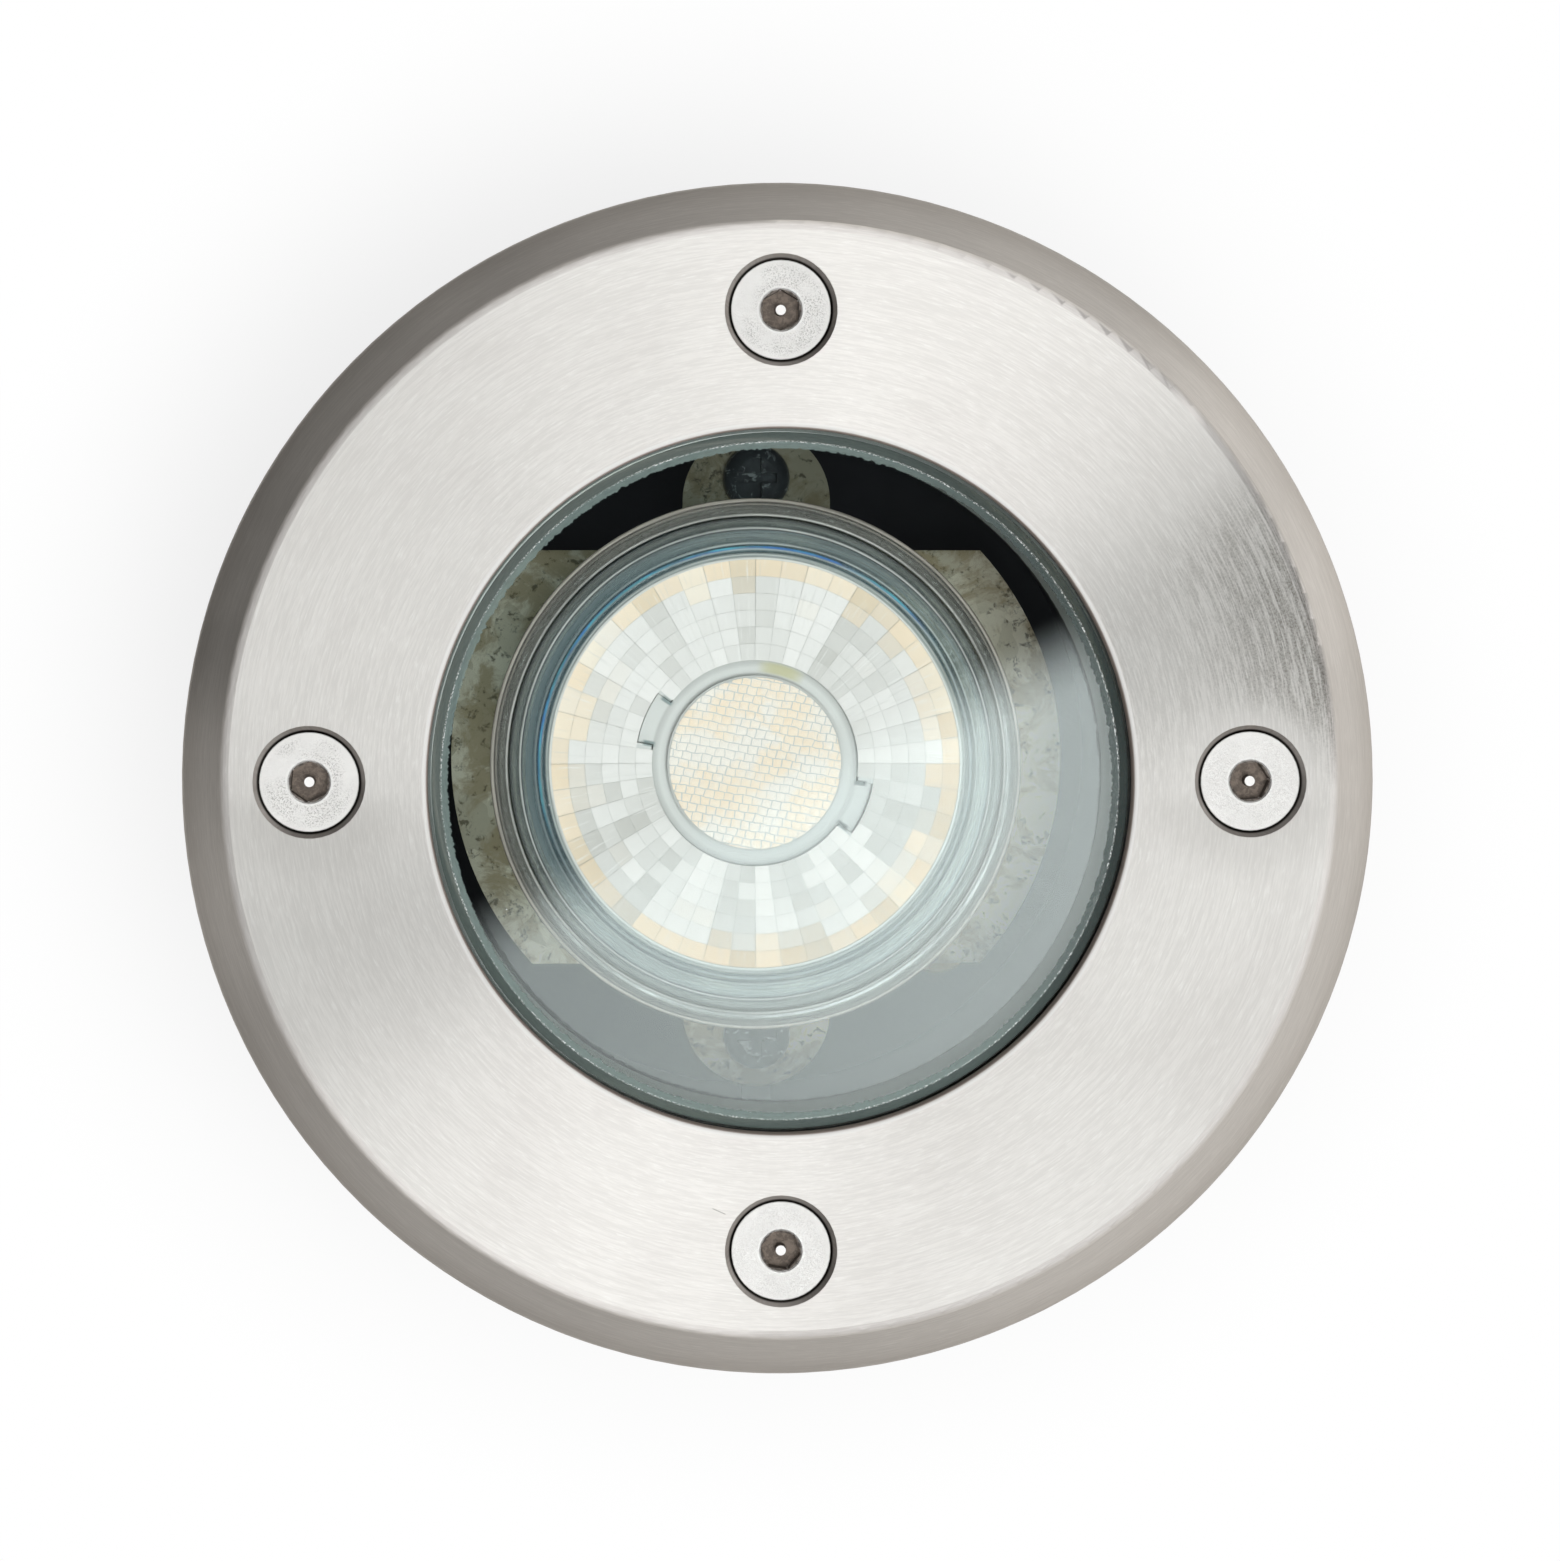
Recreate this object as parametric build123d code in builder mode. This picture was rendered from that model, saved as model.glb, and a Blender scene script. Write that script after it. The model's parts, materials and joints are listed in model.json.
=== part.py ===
from build123d import *
import os
from math import radians, sin

# In-ground well light: a brushed stainless bezel over thick glass, a sealed housing with a
# twist-lock reflector lamp, and an outer sleeve that stays in the ground.
# Millimetres. Z is up, and Z = 0 is the open foot of the sleeve, on the light's own axis.

# ---- window and glass ----
window_diameter = 64.7
window_edge = 0.4
lip_thickness = 2.5
glass_overlap = 5.25
glass_side_gap = 0.6
glass_thickness = 8.0
glass_chamfer = 0.7
glass_step_gap = 0.3
glass_step_rise = 1.6
glass_step_chamfer = 0.9
upper_gasket_thickness = 0.8
lower_gasket_thickness = 1.5
gasket_setback = 0.6

# ---- bezel ----
bezel_height = 8.0
bevel_width = 4.05
bevel_drop = 4.4
bevel_edge = 1.2
bevel_foot_edge = 0.8
bezel_foot_edge = 0.4

# ---- bezel screws, countersunk with a pinned hexagon socket ----
screw_count = 4
screw_thread = 5.0
screw_head_diameter = 9.1
screw_head_rim = 0.15
screw_sink = 0.42
screw_side_gap = 0.05
screw_length = 19.0
screw_point = 0.8
hex_flats = 3.3
hex_depth = 2.4
hex_mouth = 0.35
hex_pin_diameter = 1.0
hex_pin_drop = 0.3
hex_turns = (4, 0, 25, 20)
screw_hole_gap = 0.5
thread_gap = 0.2

# ---- glass seat ring ----
neck_setback = 0.55
neck_wall = 4.5
neck_length = 10.0
neck_draft = 0.4
seat_ring_thickness = 4.2
ring_fit = 0.2
seat_bead = 0.5

# ---- housing ----
housing_wall = 2.6
housing_floor = 3.0
housing_foot_edge = 1.5
seat_wall = 2.0
boss_diameter = 9.4
boss_web = 0.2
boss_drop = 11.5
rib_drop = 20.0
rib_width = 3.0
flange_rim = 1.2
flange_thickness = 4.0
flange_gasket_thickness = 1.0
flange_gasket_margin = 0.6

# ---- sleeve ----
sleeve_gap = 0.5
sleeve_wall = 2.5
sleeve_flange_width = 2.5
sleeve_flange_thickness = 2.5
sleeve_rib_count = 8
sleeve_rib_width = 2.0
sleeve_rib_height = 2.0
sleeve_rib_gap = 0.5
bezel_overhang = 0.5
cable_space = 33.0
cable_slot_width = 24.0
cable_slot_height = 30.0
cable_slot_corner = 5.0

# ---- lampholder bracket ----
post_height = 20.0
post_diameter = 9.0
bracket_thickness = 1.2
bracket_wall_gap = 4.2
bracket_width = 43.8
ear_width = 15.6
ear_wall_gap = 1.6
post_wall_gap = 7.0
bracket_screw_thread = 3.5
bracket_screw_head = 7.0
bracket_screw_head_height = 2.6
bracket_screw_edge = 1.4
bracket_screw_length = 12.0
bracket_hole_gap = 0.4
bracket_slot_travel = 3.0
blind_hole_spare = 1.0
cross_width = 1.0
cross_depth = 1.6
cross_length = 4.2

# ---- lampholder, a little off the bracket's centre in its fixing slots ----
lamp_x = -1.9
lamp_y = 1.2
holder_diameter = 29.0
holder_width = 26.0
holder_height = 15.5
holder_land = 3.8
holder_edge = 1.0
holder_screw_spacing = 17.0
holder_screw_thread = 3.0
holder_screw_head = 5.6
holder_screw_head_height = 1.8
holder_screw_well = 5.2
holder_slot_travel = 4.0
holder_nut_flats = 5.5
holder_nut_height = 2.4
base_plate_thickness = 0.8
base_plate_margin = 0.3
base_plate_setback = 2.0
lead_hole = 2.6
lead_window_length = 15.0
lead_window_width = 5.0
twist_angle = 30.0
track_overrun = 6.0
contact_strip = 0.5
contact_width = 3.6
contact_length = 4.2
contact_gap = 0.3

# ---- lamp foot and pins ----
foot_gap = 0.3
pin_spacing = 10.0
pin_shank = 3.0
pin_shank_gap = 0.3
pin_head = 5.0
pin_head_height = 2.6
pin_head_edge = 0.5
pin_head_gap = 0.5
pin_length = 7.0
foot_diameter = 18.4
foot_width = 14.0
foot_height = 9.0
base_diameter = 30.0
base_flare = 8.0
base_height = 22.0
base_wall = 1.8

# ---- lamp ----
lamp_diameter = 50.0
lamp_length = 50.0
lamp_glass_gap = 5.7
shell_wall = 1.7
shell_belly = 1.6
rim_height = 2.6
rim_edge = 0.5
lens_fit = 0.15
lens_flange_thickness = 1.2
lens_flange_sink = 0.9
bead_width = 1.6
bead_inset = 1.0
bead_height = 0.55
petal_count = 24
petal_inset = 3.9
petal_thickness = 2.2
petal_drop = 0.35
petal_dip = 2.2
flute_width = 0.5
flute_depth = 0.4
hub_diameter = 19.8
centre_diameter = 16.6
centre_height = 3.4
centre_rise = 0.6
hub_ring_sink = 1.0
tab_angle = 157.0
tab_span = 26.0
tab_length = 1.5
tab_thickness = 1.2
board_depth = 9.0
board_setback = 3.3
board_thickness = 1.2
chip_size = 2.8
chip_height = 0.7
chip_ring_count = 12
chip_ring_diameter = 28.0
chip_core_count = 4
chip_core_diameter = 8.0
sink_wall = 1.2
sink_plug = 3.0
driver_board_width = 17.0
driver_board_height = 22.0
driver_board_thickness = 1.2
driver_gap = 0.5
capacitor_diameter = 6.3
capacitor_height = 9.0
capacitor_rise = 7.0

# ---- terminal block and earth screw ----
pole_count = 3
pole_pitch = 10.0
pole_web = 2.0
block_x = -17.0
block_depth = 17.0
block_height = 11.0
block_base = 3.0
block_pad = 1.5
block_pad_margin = 1.5
insert_diameter = 4.4
insert_bore = 3.0
insert_length = 14.0
insert_rise = 5.5
terminal_thread = 2.6
terminal_well = 3.6
terminal_screw_height = 3.2
terminal_screw_spacing = 7.4
block_screw_thread = 2.4
block_screw_head = 4.2
block_screw_head_height = 1.6
earth_x = 20.0
earth_y = -20.0
earth_boss_diameter = 8.0
earth_boss_height = 6.0
earth_thread = 4.0
earth_head = 7.4
earth_head_height = 2.6

# ---- cable gland ----
gland_x = 14.0
gland_thread = 16.0
gland_hole_gap = 0.3
gland_flats = 22.0
gland_hex_height = 5.0
gland_bore = 10.4
gland_thread_spare = 1.5
gland_locknut_height = 5.0
gland_washer_thickness = 1.5
gland_washer_width = 2.6
spigot_length = 9.0
spigot_wall = 1.2
finger_count = 6
finger_slit = 0.9
finger_length = 6.0
cable_diameter = 8.0
seal_wall = 2.2
seal_fit = 0.2
nut_gap = 0.4
nut_length = 16.0
nut_hex_length = 8.0
nut_mouth_gap = 1.2
nut_mouth_wall = 1.6
nut_shoulder = 0.4
nut_dome = 1.5

# ---- what follows from those sizes ----
glass_diameter = window_diameter + 2 * glass_overlap
glass_step_diameter = window_diameter - 2 * glass_step_gap
seat_bore = glass_diameter + 2 * glass_side_gap
screw_circle = seat_bore + boss_diameter + 2 * boss_web
flange_diameter = screw_circle + boss_diameter + 2 * flange_rim
sleeve_bore = flange_diameter + 2 * sleeve_gap
sleeve_diameter = sleeve_bore + 2 * sleeve_wall
sleeve_flange_diameter = sleeve_diameter + 2 * sleeve_flange_width
bezel_diameter = sleeve_flange_diameter + 2 * bezel_overhang
flat_diameter = bezel_diameter - 2 * bevel_width
neck_diameter = window_diameter - 2 * neck_setback
neck_outer = neck_diameter + 2 * neck_wall
housing_bore = neck_outer + 2 * ring_fit
housing_diameter = housing_bore + 2 * housing_wall
seat_diameter = seat_bore + 2 * seat_wall

floor_top = cable_space + housing_floor
bracket_underside = floor_top + post_height
bracket_top = bracket_underside + bracket_thickness
holder_top = bracket_top + holder_height
lamp_foot = holder_top + foot_gap
lamp_face = lamp_foot + lamp_length
glass_bottom = lamp_face + lamp_glass_gap
glass_top = glass_bottom + glass_thickness
lip_underside = glass_top + upper_gasket_thickness
bezel_top = lip_underside + lip_thickness
bezel_underside = bezel_top - bezel_height
flange_top = bezel_underside - flange_gasket_thickness
flange_underside = flange_top - flange_thickness
seat_top = glass_bottom - lower_gasket_thickness
seat_ledge = seat_top - seat_ring_thickness
neck_bottom = seat_ledge - neck_length
boss_bottom = flange_underside - boss_drop
screw_head_top = bezel_top - screw_sink
screw_tip = screw_head_top - screw_length

post_y = housing_bore / 2 - post_wall_gap
holder_screw_y = holder_screw_spacing / 2
light_axis = Axis.Z
lamp_axis = Axis((lamp_x, lamp_y, 0), (0, 0, 1))
light_section = Plane.XZ
lamp_section = Plane(origin=(lamp_x, lamp_y, 0), x_dir=(1, 0, 0), z_dir=(0, -1, 0))


def level(z, x=0, y=0):
    # a flat plane at height z, centred on x, y
    return Plane(origin=(x, y, z))


def lamp_level(z):
    # a flat plane at height z on the lamp's axis
    return level(z, lamp_x, lamp_y)


def tapped(thread):
    # the radius of a threaded hole for a screw of that thread
    return (thread + thread_gap) / 2


def circles(part, diameter, z):
    # the part's circular edges of one diameter at one height
    return part.edges().filter_by(GeomType.CIRCLE).filter_by(
        lambda edge: abs(edge.radius - diameter / 2) < 1e-3 and abs(edge.center().Z - z) < 1e-3
    )


# ---- bezel: a turned ring with a wide bevel, a glass recess and countersunk holes ----
with BuildPart() as bezel:
    with BuildSketch(light_section):
        with BuildLine():
            Polyline(
                (window_diameter / 2, lip_underside),
                (window_diameter / 2, bezel_top),
                (flat_diameter / 2, bezel_top),
                (bezel_diameter / 2, bezel_top - bevel_drop),
                (bezel_diameter / 2, bezel_underside),
                (seat_bore / 2, bezel_underside),
                (seat_bore / 2, lip_underside),
                close=True,
            )
        make_face()
    revolve(axis=light_axis)
    fillet(circles(bezel.part, flat_diameter, bezel_top), bevel_edge)
    fillet(circles(bezel.part, bezel_diameter, bezel_top - bevel_drop), bevel_foot_edge)
    fillet(circles(bezel.part, window_diameter, bezel_top), window_edge)
    chamfer(circles(bezel.part, bezel_diameter, bezel_underside), bezel_foot_edge)
    with Locations(level(bezel_top)):
        with PolarLocations(screw_circle / 2, screw_count):
            CounterSinkHole(
                radius=(screw_thread + screw_hole_gap) / 2,
                counter_sink_radius=screw_head_diameter / 2 + screw_sink + screw_head_rim + screw_side_gap,
                counter_sink_angle=90,
            )
bezel.part.label = "bezel"

# ---- bezel screws ----
screw_cone_top = screw_head_top - screw_head_rim
screw_cone_bottom = screw_cone_top - (screw_head_diameter - screw_thread) / 2

with BuildPart() as bezel_screw:
    with BuildSketch(light_section):
        with BuildLine():
            Polyline(
                (0, screw_tip),
                (screw_thread / 2 - screw_point, screw_tip),
                (screw_thread / 2, screw_tip + screw_point),
                (screw_thread / 2, screw_cone_bottom),
                (screw_head_diameter / 2, screw_cone_top),
                (screw_head_diameter / 2, screw_head_top),
                (0, screw_head_top),
                close=True,
            )
        make_face()
    revolve(axis=light_axis)
    with BuildSketch(level(screw_head_top)):
        RegularPolygon(hex_flats / 2, 6, major_radius=False)
    extrude(amount=-hex_depth, mode=Mode.SUBTRACT)
    with BuildSketch(level(screw_head_top)):
        Circle(hex_flats / 2 + hex_mouth)
    extrude(amount=-hex_mouth, taper=45, mode=Mode.SUBTRACT)
    with BuildSketch(level(screw_head_top - hex_depth)):
        Circle(hex_pin_diameter / 2)
    extrude(amount=hex_depth - hex_pin_drop)

with BuildPart() as bezel_screws:
    # each screw came to rest at its own turn
    for number in range(screw_count):
        with PolarLocations(screw_circle / 2, 1, start_angle=number * 360 / screw_count):
            add(bezel_screw.part, rotation=(0, 0, hex_turns[number % len(hex_turns)]))
bezel_screws.part.label = "bezel_screws"

# ---- cover glass, its middle raised into the window, and its gaskets ----
glass_step_top = glass_top + glass_step_rise

with BuildPart() as cover_glass:
    with BuildSketch(level(glass_bottom)):
        Circle(glass_diameter / 2)
    extrude(amount=glass_thickness)
    with BuildSketch(level(glass_top)):
        Circle(glass_step_diameter / 2)
    extrude(amount=glass_step_rise)
    chamfer(circles(cover_glass.part, glass_diameter, glass_bottom), glass_chamfer)
    chamfer(circles(cover_glass.part, glass_diameter, glass_top), glass_chamfer)
    chamfer(circles(cover_glass.part, glass_step_diameter, glass_step_top), glass_step_chamfer)
cover_glass.part.label = "cover_glass"

with BuildPart() as glass_gasket_upper:
    with BuildSketch(level(glass_top)):
        Circle(glass_diameter / 2 - glass_chamfer)
        Circle(window_diameter / 2 + gasket_setback, mode=Mode.SUBTRACT)
    extrude(amount=upper_gasket_thickness)
glass_gasket_upper.part.label = "glass_gasket_upper"

with BuildPart() as glass_gasket_lower:
    with BuildSketch(level(seat_top)):
        Circle(glass_diameter / 2 - glass_chamfer)
        Circle(neck_diameter / 2 + 2 * seat_bead, mode=Mode.SUBTRACT)
    extrude(amount=lower_gasket_thickness)
glass_gasket_lower.part.label = "glass_gasket_lower"

# ---- glass seat ring: carries the glass and shows as the pale wall below it ----
with BuildPart() as seat_ring:
    with BuildSketch(light_section):
        with BuildLine():
            Polyline(
                (neck_diameter / 2 - neck_draft, neck_bottom),
                (neck_outer / 2, neck_bottom),
                (neck_outer / 2, seat_ledge),
                (seat_bore / 2 - ring_fit, seat_ledge),
                (seat_bore / 2 - ring_fit, seat_top),
                (neck_diameter / 2 + 2 * seat_bead, seat_top),
                (neck_diameter / 2 + seat_bead, seat_top + 2 * seat_bead),
                (neck_diameter / 2, seat_top + seat_bead),
                close=True,
            )
        make_face()
    revolve(axis=light_axis)
seat_ring.part.label = "seat_ring"

# ---- housing: die-cast canister with a stepped bore, flange, bosses, posts and gland hole ----
block_width = (pole_count - 1) * pole_pitch + pole_pitch - pole_web
block_bottom = floor_top + block_pad
block_screw_tip = cable_space + housing_floor / 2
earth_hole_bottom = cable_space + housing_floor / 2

with BuildPart() as boss_rib:
    with BuildSketch(light_section):
        with BuildLine():
            Polyline(
                (housing_diameter / 2 - housing_wall / 2, boss_bottom - rib_drop),
                (housing_diameter / 2, boss_bottom - rib_drop),
                (screw_circle / 2 + boss_diameter / 3, boss_bottom),
                (housing_diameter / 2 - housing_wall / 2, boss_bottom),
                close=True,
            )
        make_face()
    extrude(amount=rib_width / 2, both=True)

with BuildPart() as housing:
    with BuildSketch(light_section):
        with BuildLine():
            Polyline(
                (0, cable_space),
                (housing_diameter / 2, cable_space),
                (housing_diameter / 2, neck_bottom),
                (seat_diameter / 2, neck_bottom + (seat_diameter - housing_diameter) / 2),
                (seat_diameter / 2, flange_underside),
                (flange_diameter / 2, flange_underside),
                (flange_diameter / 2, flange_top),
                (0, flange_top),
                close=True,
            )
        make_face()
    revolve(axis=light_axis)
    fillet(circles(housing.part, housing_diameter, cable_space), housing_foot_edge)
    # screw bosses under the flange, each carried down the wall by a tapered rib
    with BuildSketch(level(boss_bottom)):
        with PolarLocations(screw_circle / 2, screw_count):
            Circle(boss_diameter / 2)
    extrude(amount=flange_underside - boss_bottom)
    with PolarLocations(0, screw_count):
        add(boss_rib.part)
    # stepped bore
    with BuildSketch(level(floor_top)):
        Circle(housing_bore / 2)
    extrude(amount=flange_top - floor_top, mode=Mode.SUBTRACT)
    with BuildSketch(level(seat_ledge)):
        Circle(seat_bore / 2)
    extrude(amount=flange_top - seat_ledge, mode=Mode.SUBTRACT)
    # bracket posts, webbed to the wall, inside the bore
    with BuildSketch(level(floor_top)):
        with Locations((0, post_y), (0, -post_y)):
            Circle(post_diameter / 2)
        Rectangle(rib_width, housing_bore + housing_wall)
        Rectangle(2 * rib_width, 2 * post_y, mode=Mode.SUBTRACT)
        with Locations((0, post_y), (0, -post_y)):
            Circle(post_diameter / 2)
    extrude(amount=post_height)
    # pad under the terminal block and boss for the earth screw
    with BuildSketch(level(floor_top, block_x)):
        Rectangle(block_depth - 2 * block_pad_margin, block_width - 2 * block_pad_margin)
    extrude(amount=block_pad)
    with BuildSketch(level(floor_top, earth_x, earth_y)):
        Circle(earth_boss_diameter / 2)
    extrude(amount=earth_boss_height)
    # tapped holes and the gland hole
    with Locations(level(flange_top)):
        with PolarLocations(screw_circle / 2, screw_count):
            Hole(tapped(screw_thread), depth=flange_top - screw_tip + blind_hole_spare)
    with Locations((0, post_y, bracket_underside), (0, -post_y, bracket_underside)):
        Hole(tapped(bracket_screw_thread), depth=bracket_screw_length)
    with Locations((earth_x, earth_y, floor_top + earth_boss_height)):
        Hole(tapped(earth_thread), depth=floor_top + earth_boss_height - earth_hole_bottom)
    with Locations(level(block_bottom, block_x)):
        with GridLocations(0, pole_pitch, 1, pole_count - 1):
            Hole(tapped(block_screw_thread), depth=block_bottom - block_screw_tip)
    with Locations((gland_x, 0, floor_top)):
        Hole((gland_thread + gland_hole_gap) / 2)
housing.part.label = "housing"

# ---- flange gasket between housing and bezel ----
with BuildPart() as flange_gasket:
    with BuildSketch(level(flange_top)):
        Circle(flange_diameter / 2 - flange_gasket_margin)
        Circle(seat_bore / 2 + flange_gasket_margin, mode=Mode.SUBTRACT)
        with PolarLocations(screw_circle / 2, screw_count):
            Circle((screw_thread + screw_hole_gap) / 2, mode=Mode.SUBTRACT)
    extrude(amount=flange_gasket_thickness)
flange_gasket.part.label = "flange_gasket"

# ---- mounting sleeve: stays in the ground, ribbed inside, with two cable slots at its foot ----
sleeve_rib_top = flange_underside - sleeve_rib_gap

with BuildPart() as mounting_sleeve:
    with BuildSketch(light_section):
        with BuildLine():
            Polyline(
                (sleeve_bore / 2, 0),
                (sleeve_diameter / 2, 0),
                (sleeve_diameter / 2, bezel_underside - sleeve_flange_thickness),
                (sleeve_flange_diameter / 2, bezel_underside - sleeve_flange_thickness),
                (sleeve_flange_diameter / 2, bezel_underside),
                (sleeve_bore / 2, bezel_underside),
                close=True,
            )
        make_face()
    revolve(axis=light_axis)
    with BuildSketch(level(0)):
        with PolarLocations(sleeve_bore / 2, sleeve_rib_count, start_angle=180 / sleeve_rib_count):
            Rectangle(2 * sleeve_rib_height, sleeve_rib_width)
        Circle((sleeve_bore + sleeve_wall) / 2, mode=Mode.INTERSECT)
    extrude(amount=sleeve_rib_top)
    with BuildSketch(Plane.YZ):
        with Locations((0, cable_slot_height / 2)):
            RectangleRounded(cable_slot_width, cable_slot_height, cable_slot_corner)
        with Locations((0, cable_slot_height / 4)):
            Rectangle(cable_slot_width, cable_slot_height / 2)
    extrude(amount=sleeve_diameter, both=True, mode=Mode.SUBTRACT)
mounting_sleeve.part.label = "mounting_sleeve"

# ---- lampholder bracket: plated disc with two flats, slotted ears and a lead window ----
ear_centre = housing_bore / 2 - ear_wall_gap - ear_width / 2

with BuildPart() as lampholder_bracket:
    with BuildSketch(level(bracket_underside)):
        Circle(housing_bore / 2 - bracket_wall_gap)
        Rectangle(housing_bore, bracket_width, mode=Mode.INTERSECT)
        SlotCenterToCenter(2 * ear_centre, ear_width, rotation=90)
        with Locations((0, post_y), (0, -post_y)):
            SlotCenterToCenter(
                bracket_slot_travel, bracket_screw_thread + bracket_hole_gap, rotation=90, mode=Mode.SUBTRACT
            )
        with Locations((lamp_x, lamp_y)):
            SlotOverall(lead_window_length, lead_window_width, mode=Mode.SUBTRACT)
        with Locations((lamp_x, lamp_y + holder_screw_y), (lamp_x, lamp_y - holder_screw_y)):
            SlotCenterToCenter(
                holder_slot_travel, holder_screw_thread + bracket_hole_gap, mode=Mode.SUBTRACT
            )
    extrude(amount=bracket_thickness)
lampholder_bracket.part.label = "lampholder_bracket"

# ---- bracket screws: pan head, cross recess ----
bracket_screw_top = bracket_top + bracket_screw_head_height

with BuildPart() as bracket_screw:
    with BuildSketch(level(bracket_top)):
        Circle(bracket_screw_head / 2)
    extrude(amount=bracket_screw_head_height)
    fillet(circles(bracket_screw.part, bracket_screw_head, bracket_screw_top), bracket_screw_edge)
    with BuildSketch(level(bracket_top)):
        Circle(bracket_screw_thread / 2)
    extrude(amount=-(bracket_screw_length - blind_hole_spare))
    with BuildSketch(level(bracket_screw_top)):
        Rectangle(cross_length, cross_width)
        Rectangle(cross_width, cross_length)
    extrude(amount=-cross_depth, mode=Mode.SUBTRACT)

with BuildPart() as bracket_screws:
    with Locations((0, post_y, 0), (0, -post_y, 0)):
        add(bracket_screw.part)
bracket_screws.part.label = "bracket_screws"

# ---- lampholder: ceramic block with two curved keyhole tracks for the lamp's pins ----
shank_slot = pin_shank + 2 * pin_shank_gap
head_slot = pin_head + 2 * pin_head_gap
track_top = holder_top - holder_land
track_bottom = bracket_top + base_plate_thickness
track_reach = pin_spacing / 2 * sin(radians(twist_angle + track_overrun)) + head_slot / 2
base_plate_width = 2 * (track_reach + base_plate_margin)
keyhole_arc = CenterArc((0, 0), pin_spacing / 2, 0, twist_angle)
track_arc = CenterArc((0, 0), pin_spacing / 2, -track_overrun, twist_angle + 2 * track_overrun)

with BuildPart() as lampholder_body:
    with BuildSketch(lamp_level(bracket_top)):
        Circle(holder_diameter / 2)
        Rectangle(holder_diameter, holder_width, mode=Mode.INTERSECT)
    extrude(amount=holder_height)
    chamfer(lampholder_body.faces().sort_by(Axis.Z)[-1].edges(), holder_edge)
    # recess for the base plate
    with BuildSketch(lamp_level(bracket_top)):
        Circle(holder_diameter / 2 - base_plate_setback)
        Rectangle(holder_diameter, base_plate_width, mode=Mode.INTERSECT)
    extrude(amount=base_plate_thickness, mode=Mode.SUBTRACT)
    # keyhole slots through the land, and wider tracks for the pin heads below it
    with BuildSketch(lamp_level(holder_top)):
        SlotArc(keyhole_arc, shank_slot)
        SlotArc(keyhole_arc, shank_slot, rotation=180)
        with PolarLocations(pin_spacing / 2, 2, start_angle=twist_angle):
            Circle(head_slot / 2)
    extrude(amount=-holder_land, mode=Mode.SUBTRACT)
    with BuildSketch(lamp_level(track_bottom)):
        SlotArc(track_arc, head_slot)
        SlotArc(track_arc, head_slot, rotation=180)
    extrude(amount=track_top - track_bottom, mode=Mode.SUBTRACT)
    with Locations(lamp_level(holder_top)):
        with GridLocations(0, holder_screw_spacing, 1, 2):
            CounterBoreHole(
                radius=(holder_screw_thread + bracket_hole_gap) / 2,
                counter_bore_radius=(holder_screw_head + bracket_hole_gap) / 2,
                counter_bore_depth=holder_screw_well,
            )
lampholder_body.part.label = "lampholder_body"

# ---- insulating base plate, with a hole for each lead ----
with BuildPart() as lampholder_base_plate:
    with BuildSketch(lamp_level(bracket_top)):
        Circle(holder_diameter / 2 - base_plate_setback - ring_fit)
        Rectangle(holder_diameter, base_plate_width - 2 * ring_fit, mode=Mode.INTERSECT)
        with PolarLocations(pin_spacing / 2 + contact_width / 2 + lead_hole / 2, 2):
            Circle(lead_hole / 2, mode=Mode.SUBTRACT)
    extrude(amount=base_plate_thickness)
lampholder_base_plate.part.label = "lampholder_base_plate"

# ---- sprung contacts: a folded strip under each pin head ----
pin_tip = lamp_foot - pin_length
contact_height = pin_tip - contact_gap - track_bottom

with BuildPart() as lampholder_contacts:
    for side in (-1, 1):
        strip_side = Plane(
            origin=(lamp_x + side * pin_spacing / 2, lamp_y, track_bottom), x_dir=(0, 1, 0), z_dir=(1, 0, 0)
        )
        with BuildSketch(strip_side):
            with BuildLine():
                FilletPolyline(
                    (contact_length / 2, contact_strip / 2),
                    (-contact_length / 2 + contact_strip / 2, contact_strip / 2),
                    (-contact_length / 2 + contact_strip / 2, contact_height / 2),
                    (contact_length / 4, contact_height - contact_strip / 2),
                    (contact_length / 2 - contact_strip / 2, contact_height - 3 * contact_strip),
                    radius=contact_strip,
                )
            trace(line_width=contact_strip)
        extrude(amount=contact_width / 2, both=True)
lampholder_contacts.part.label = "lampholder_contacts"

# ---- lampholder screws and nuts ----
holder_screw_seat = holder_top - holder_screw_well
holder_screw_tip = bracket_underside - holder_nut_height - blind_hole_spare

with BuildPart() as lampholder_screws:
    with BuildSketch(lamp_level(holder_screw_seat)):
        with GridLocations(0, holder_screw_spacing, 1, 2):
            Circle(holder_screw_head / 2)
    extrude(amount=holder_screw_head_height)
    with BuildSketch(lamp_level(holder_screw_tip)):
        with GridLocations(0, holder_screw_spacing, 1, 2):
            Circle(holder_screw_thread / 2)
    extrude(amount=holder_screw_seat - holder_screw_tip)
    with BuildSketch(lamp_level(holder_screw_seat + holder_screw_head_height)):
        with GridLocations(0, holder_screw_spacing, 1, 2):
            Rectangle(holder_screw_head, cross_width)
    extrude(amount=-holder_screw_head_height / 2, mode=Mode.SUBTRACT)
lampholder_screws.part.label = "lampholder_screws"

with BuildPart() as lampholder_nuts:
    with BuildSketch(lamp_level(bracket_underside)):
        with GridLocations(0, holder_screw_spacing, 1, 2):
            RegularPolygon(holder_nut_flats / 2, 6, major_radius=False)
            Circle(tapped(holder_screw_thread), mode=Mode.SUBTRACT)
    extrude(amount=-holder_nut_height)
lampholder_nuts.part.label = "lampholder_nuts"

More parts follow.
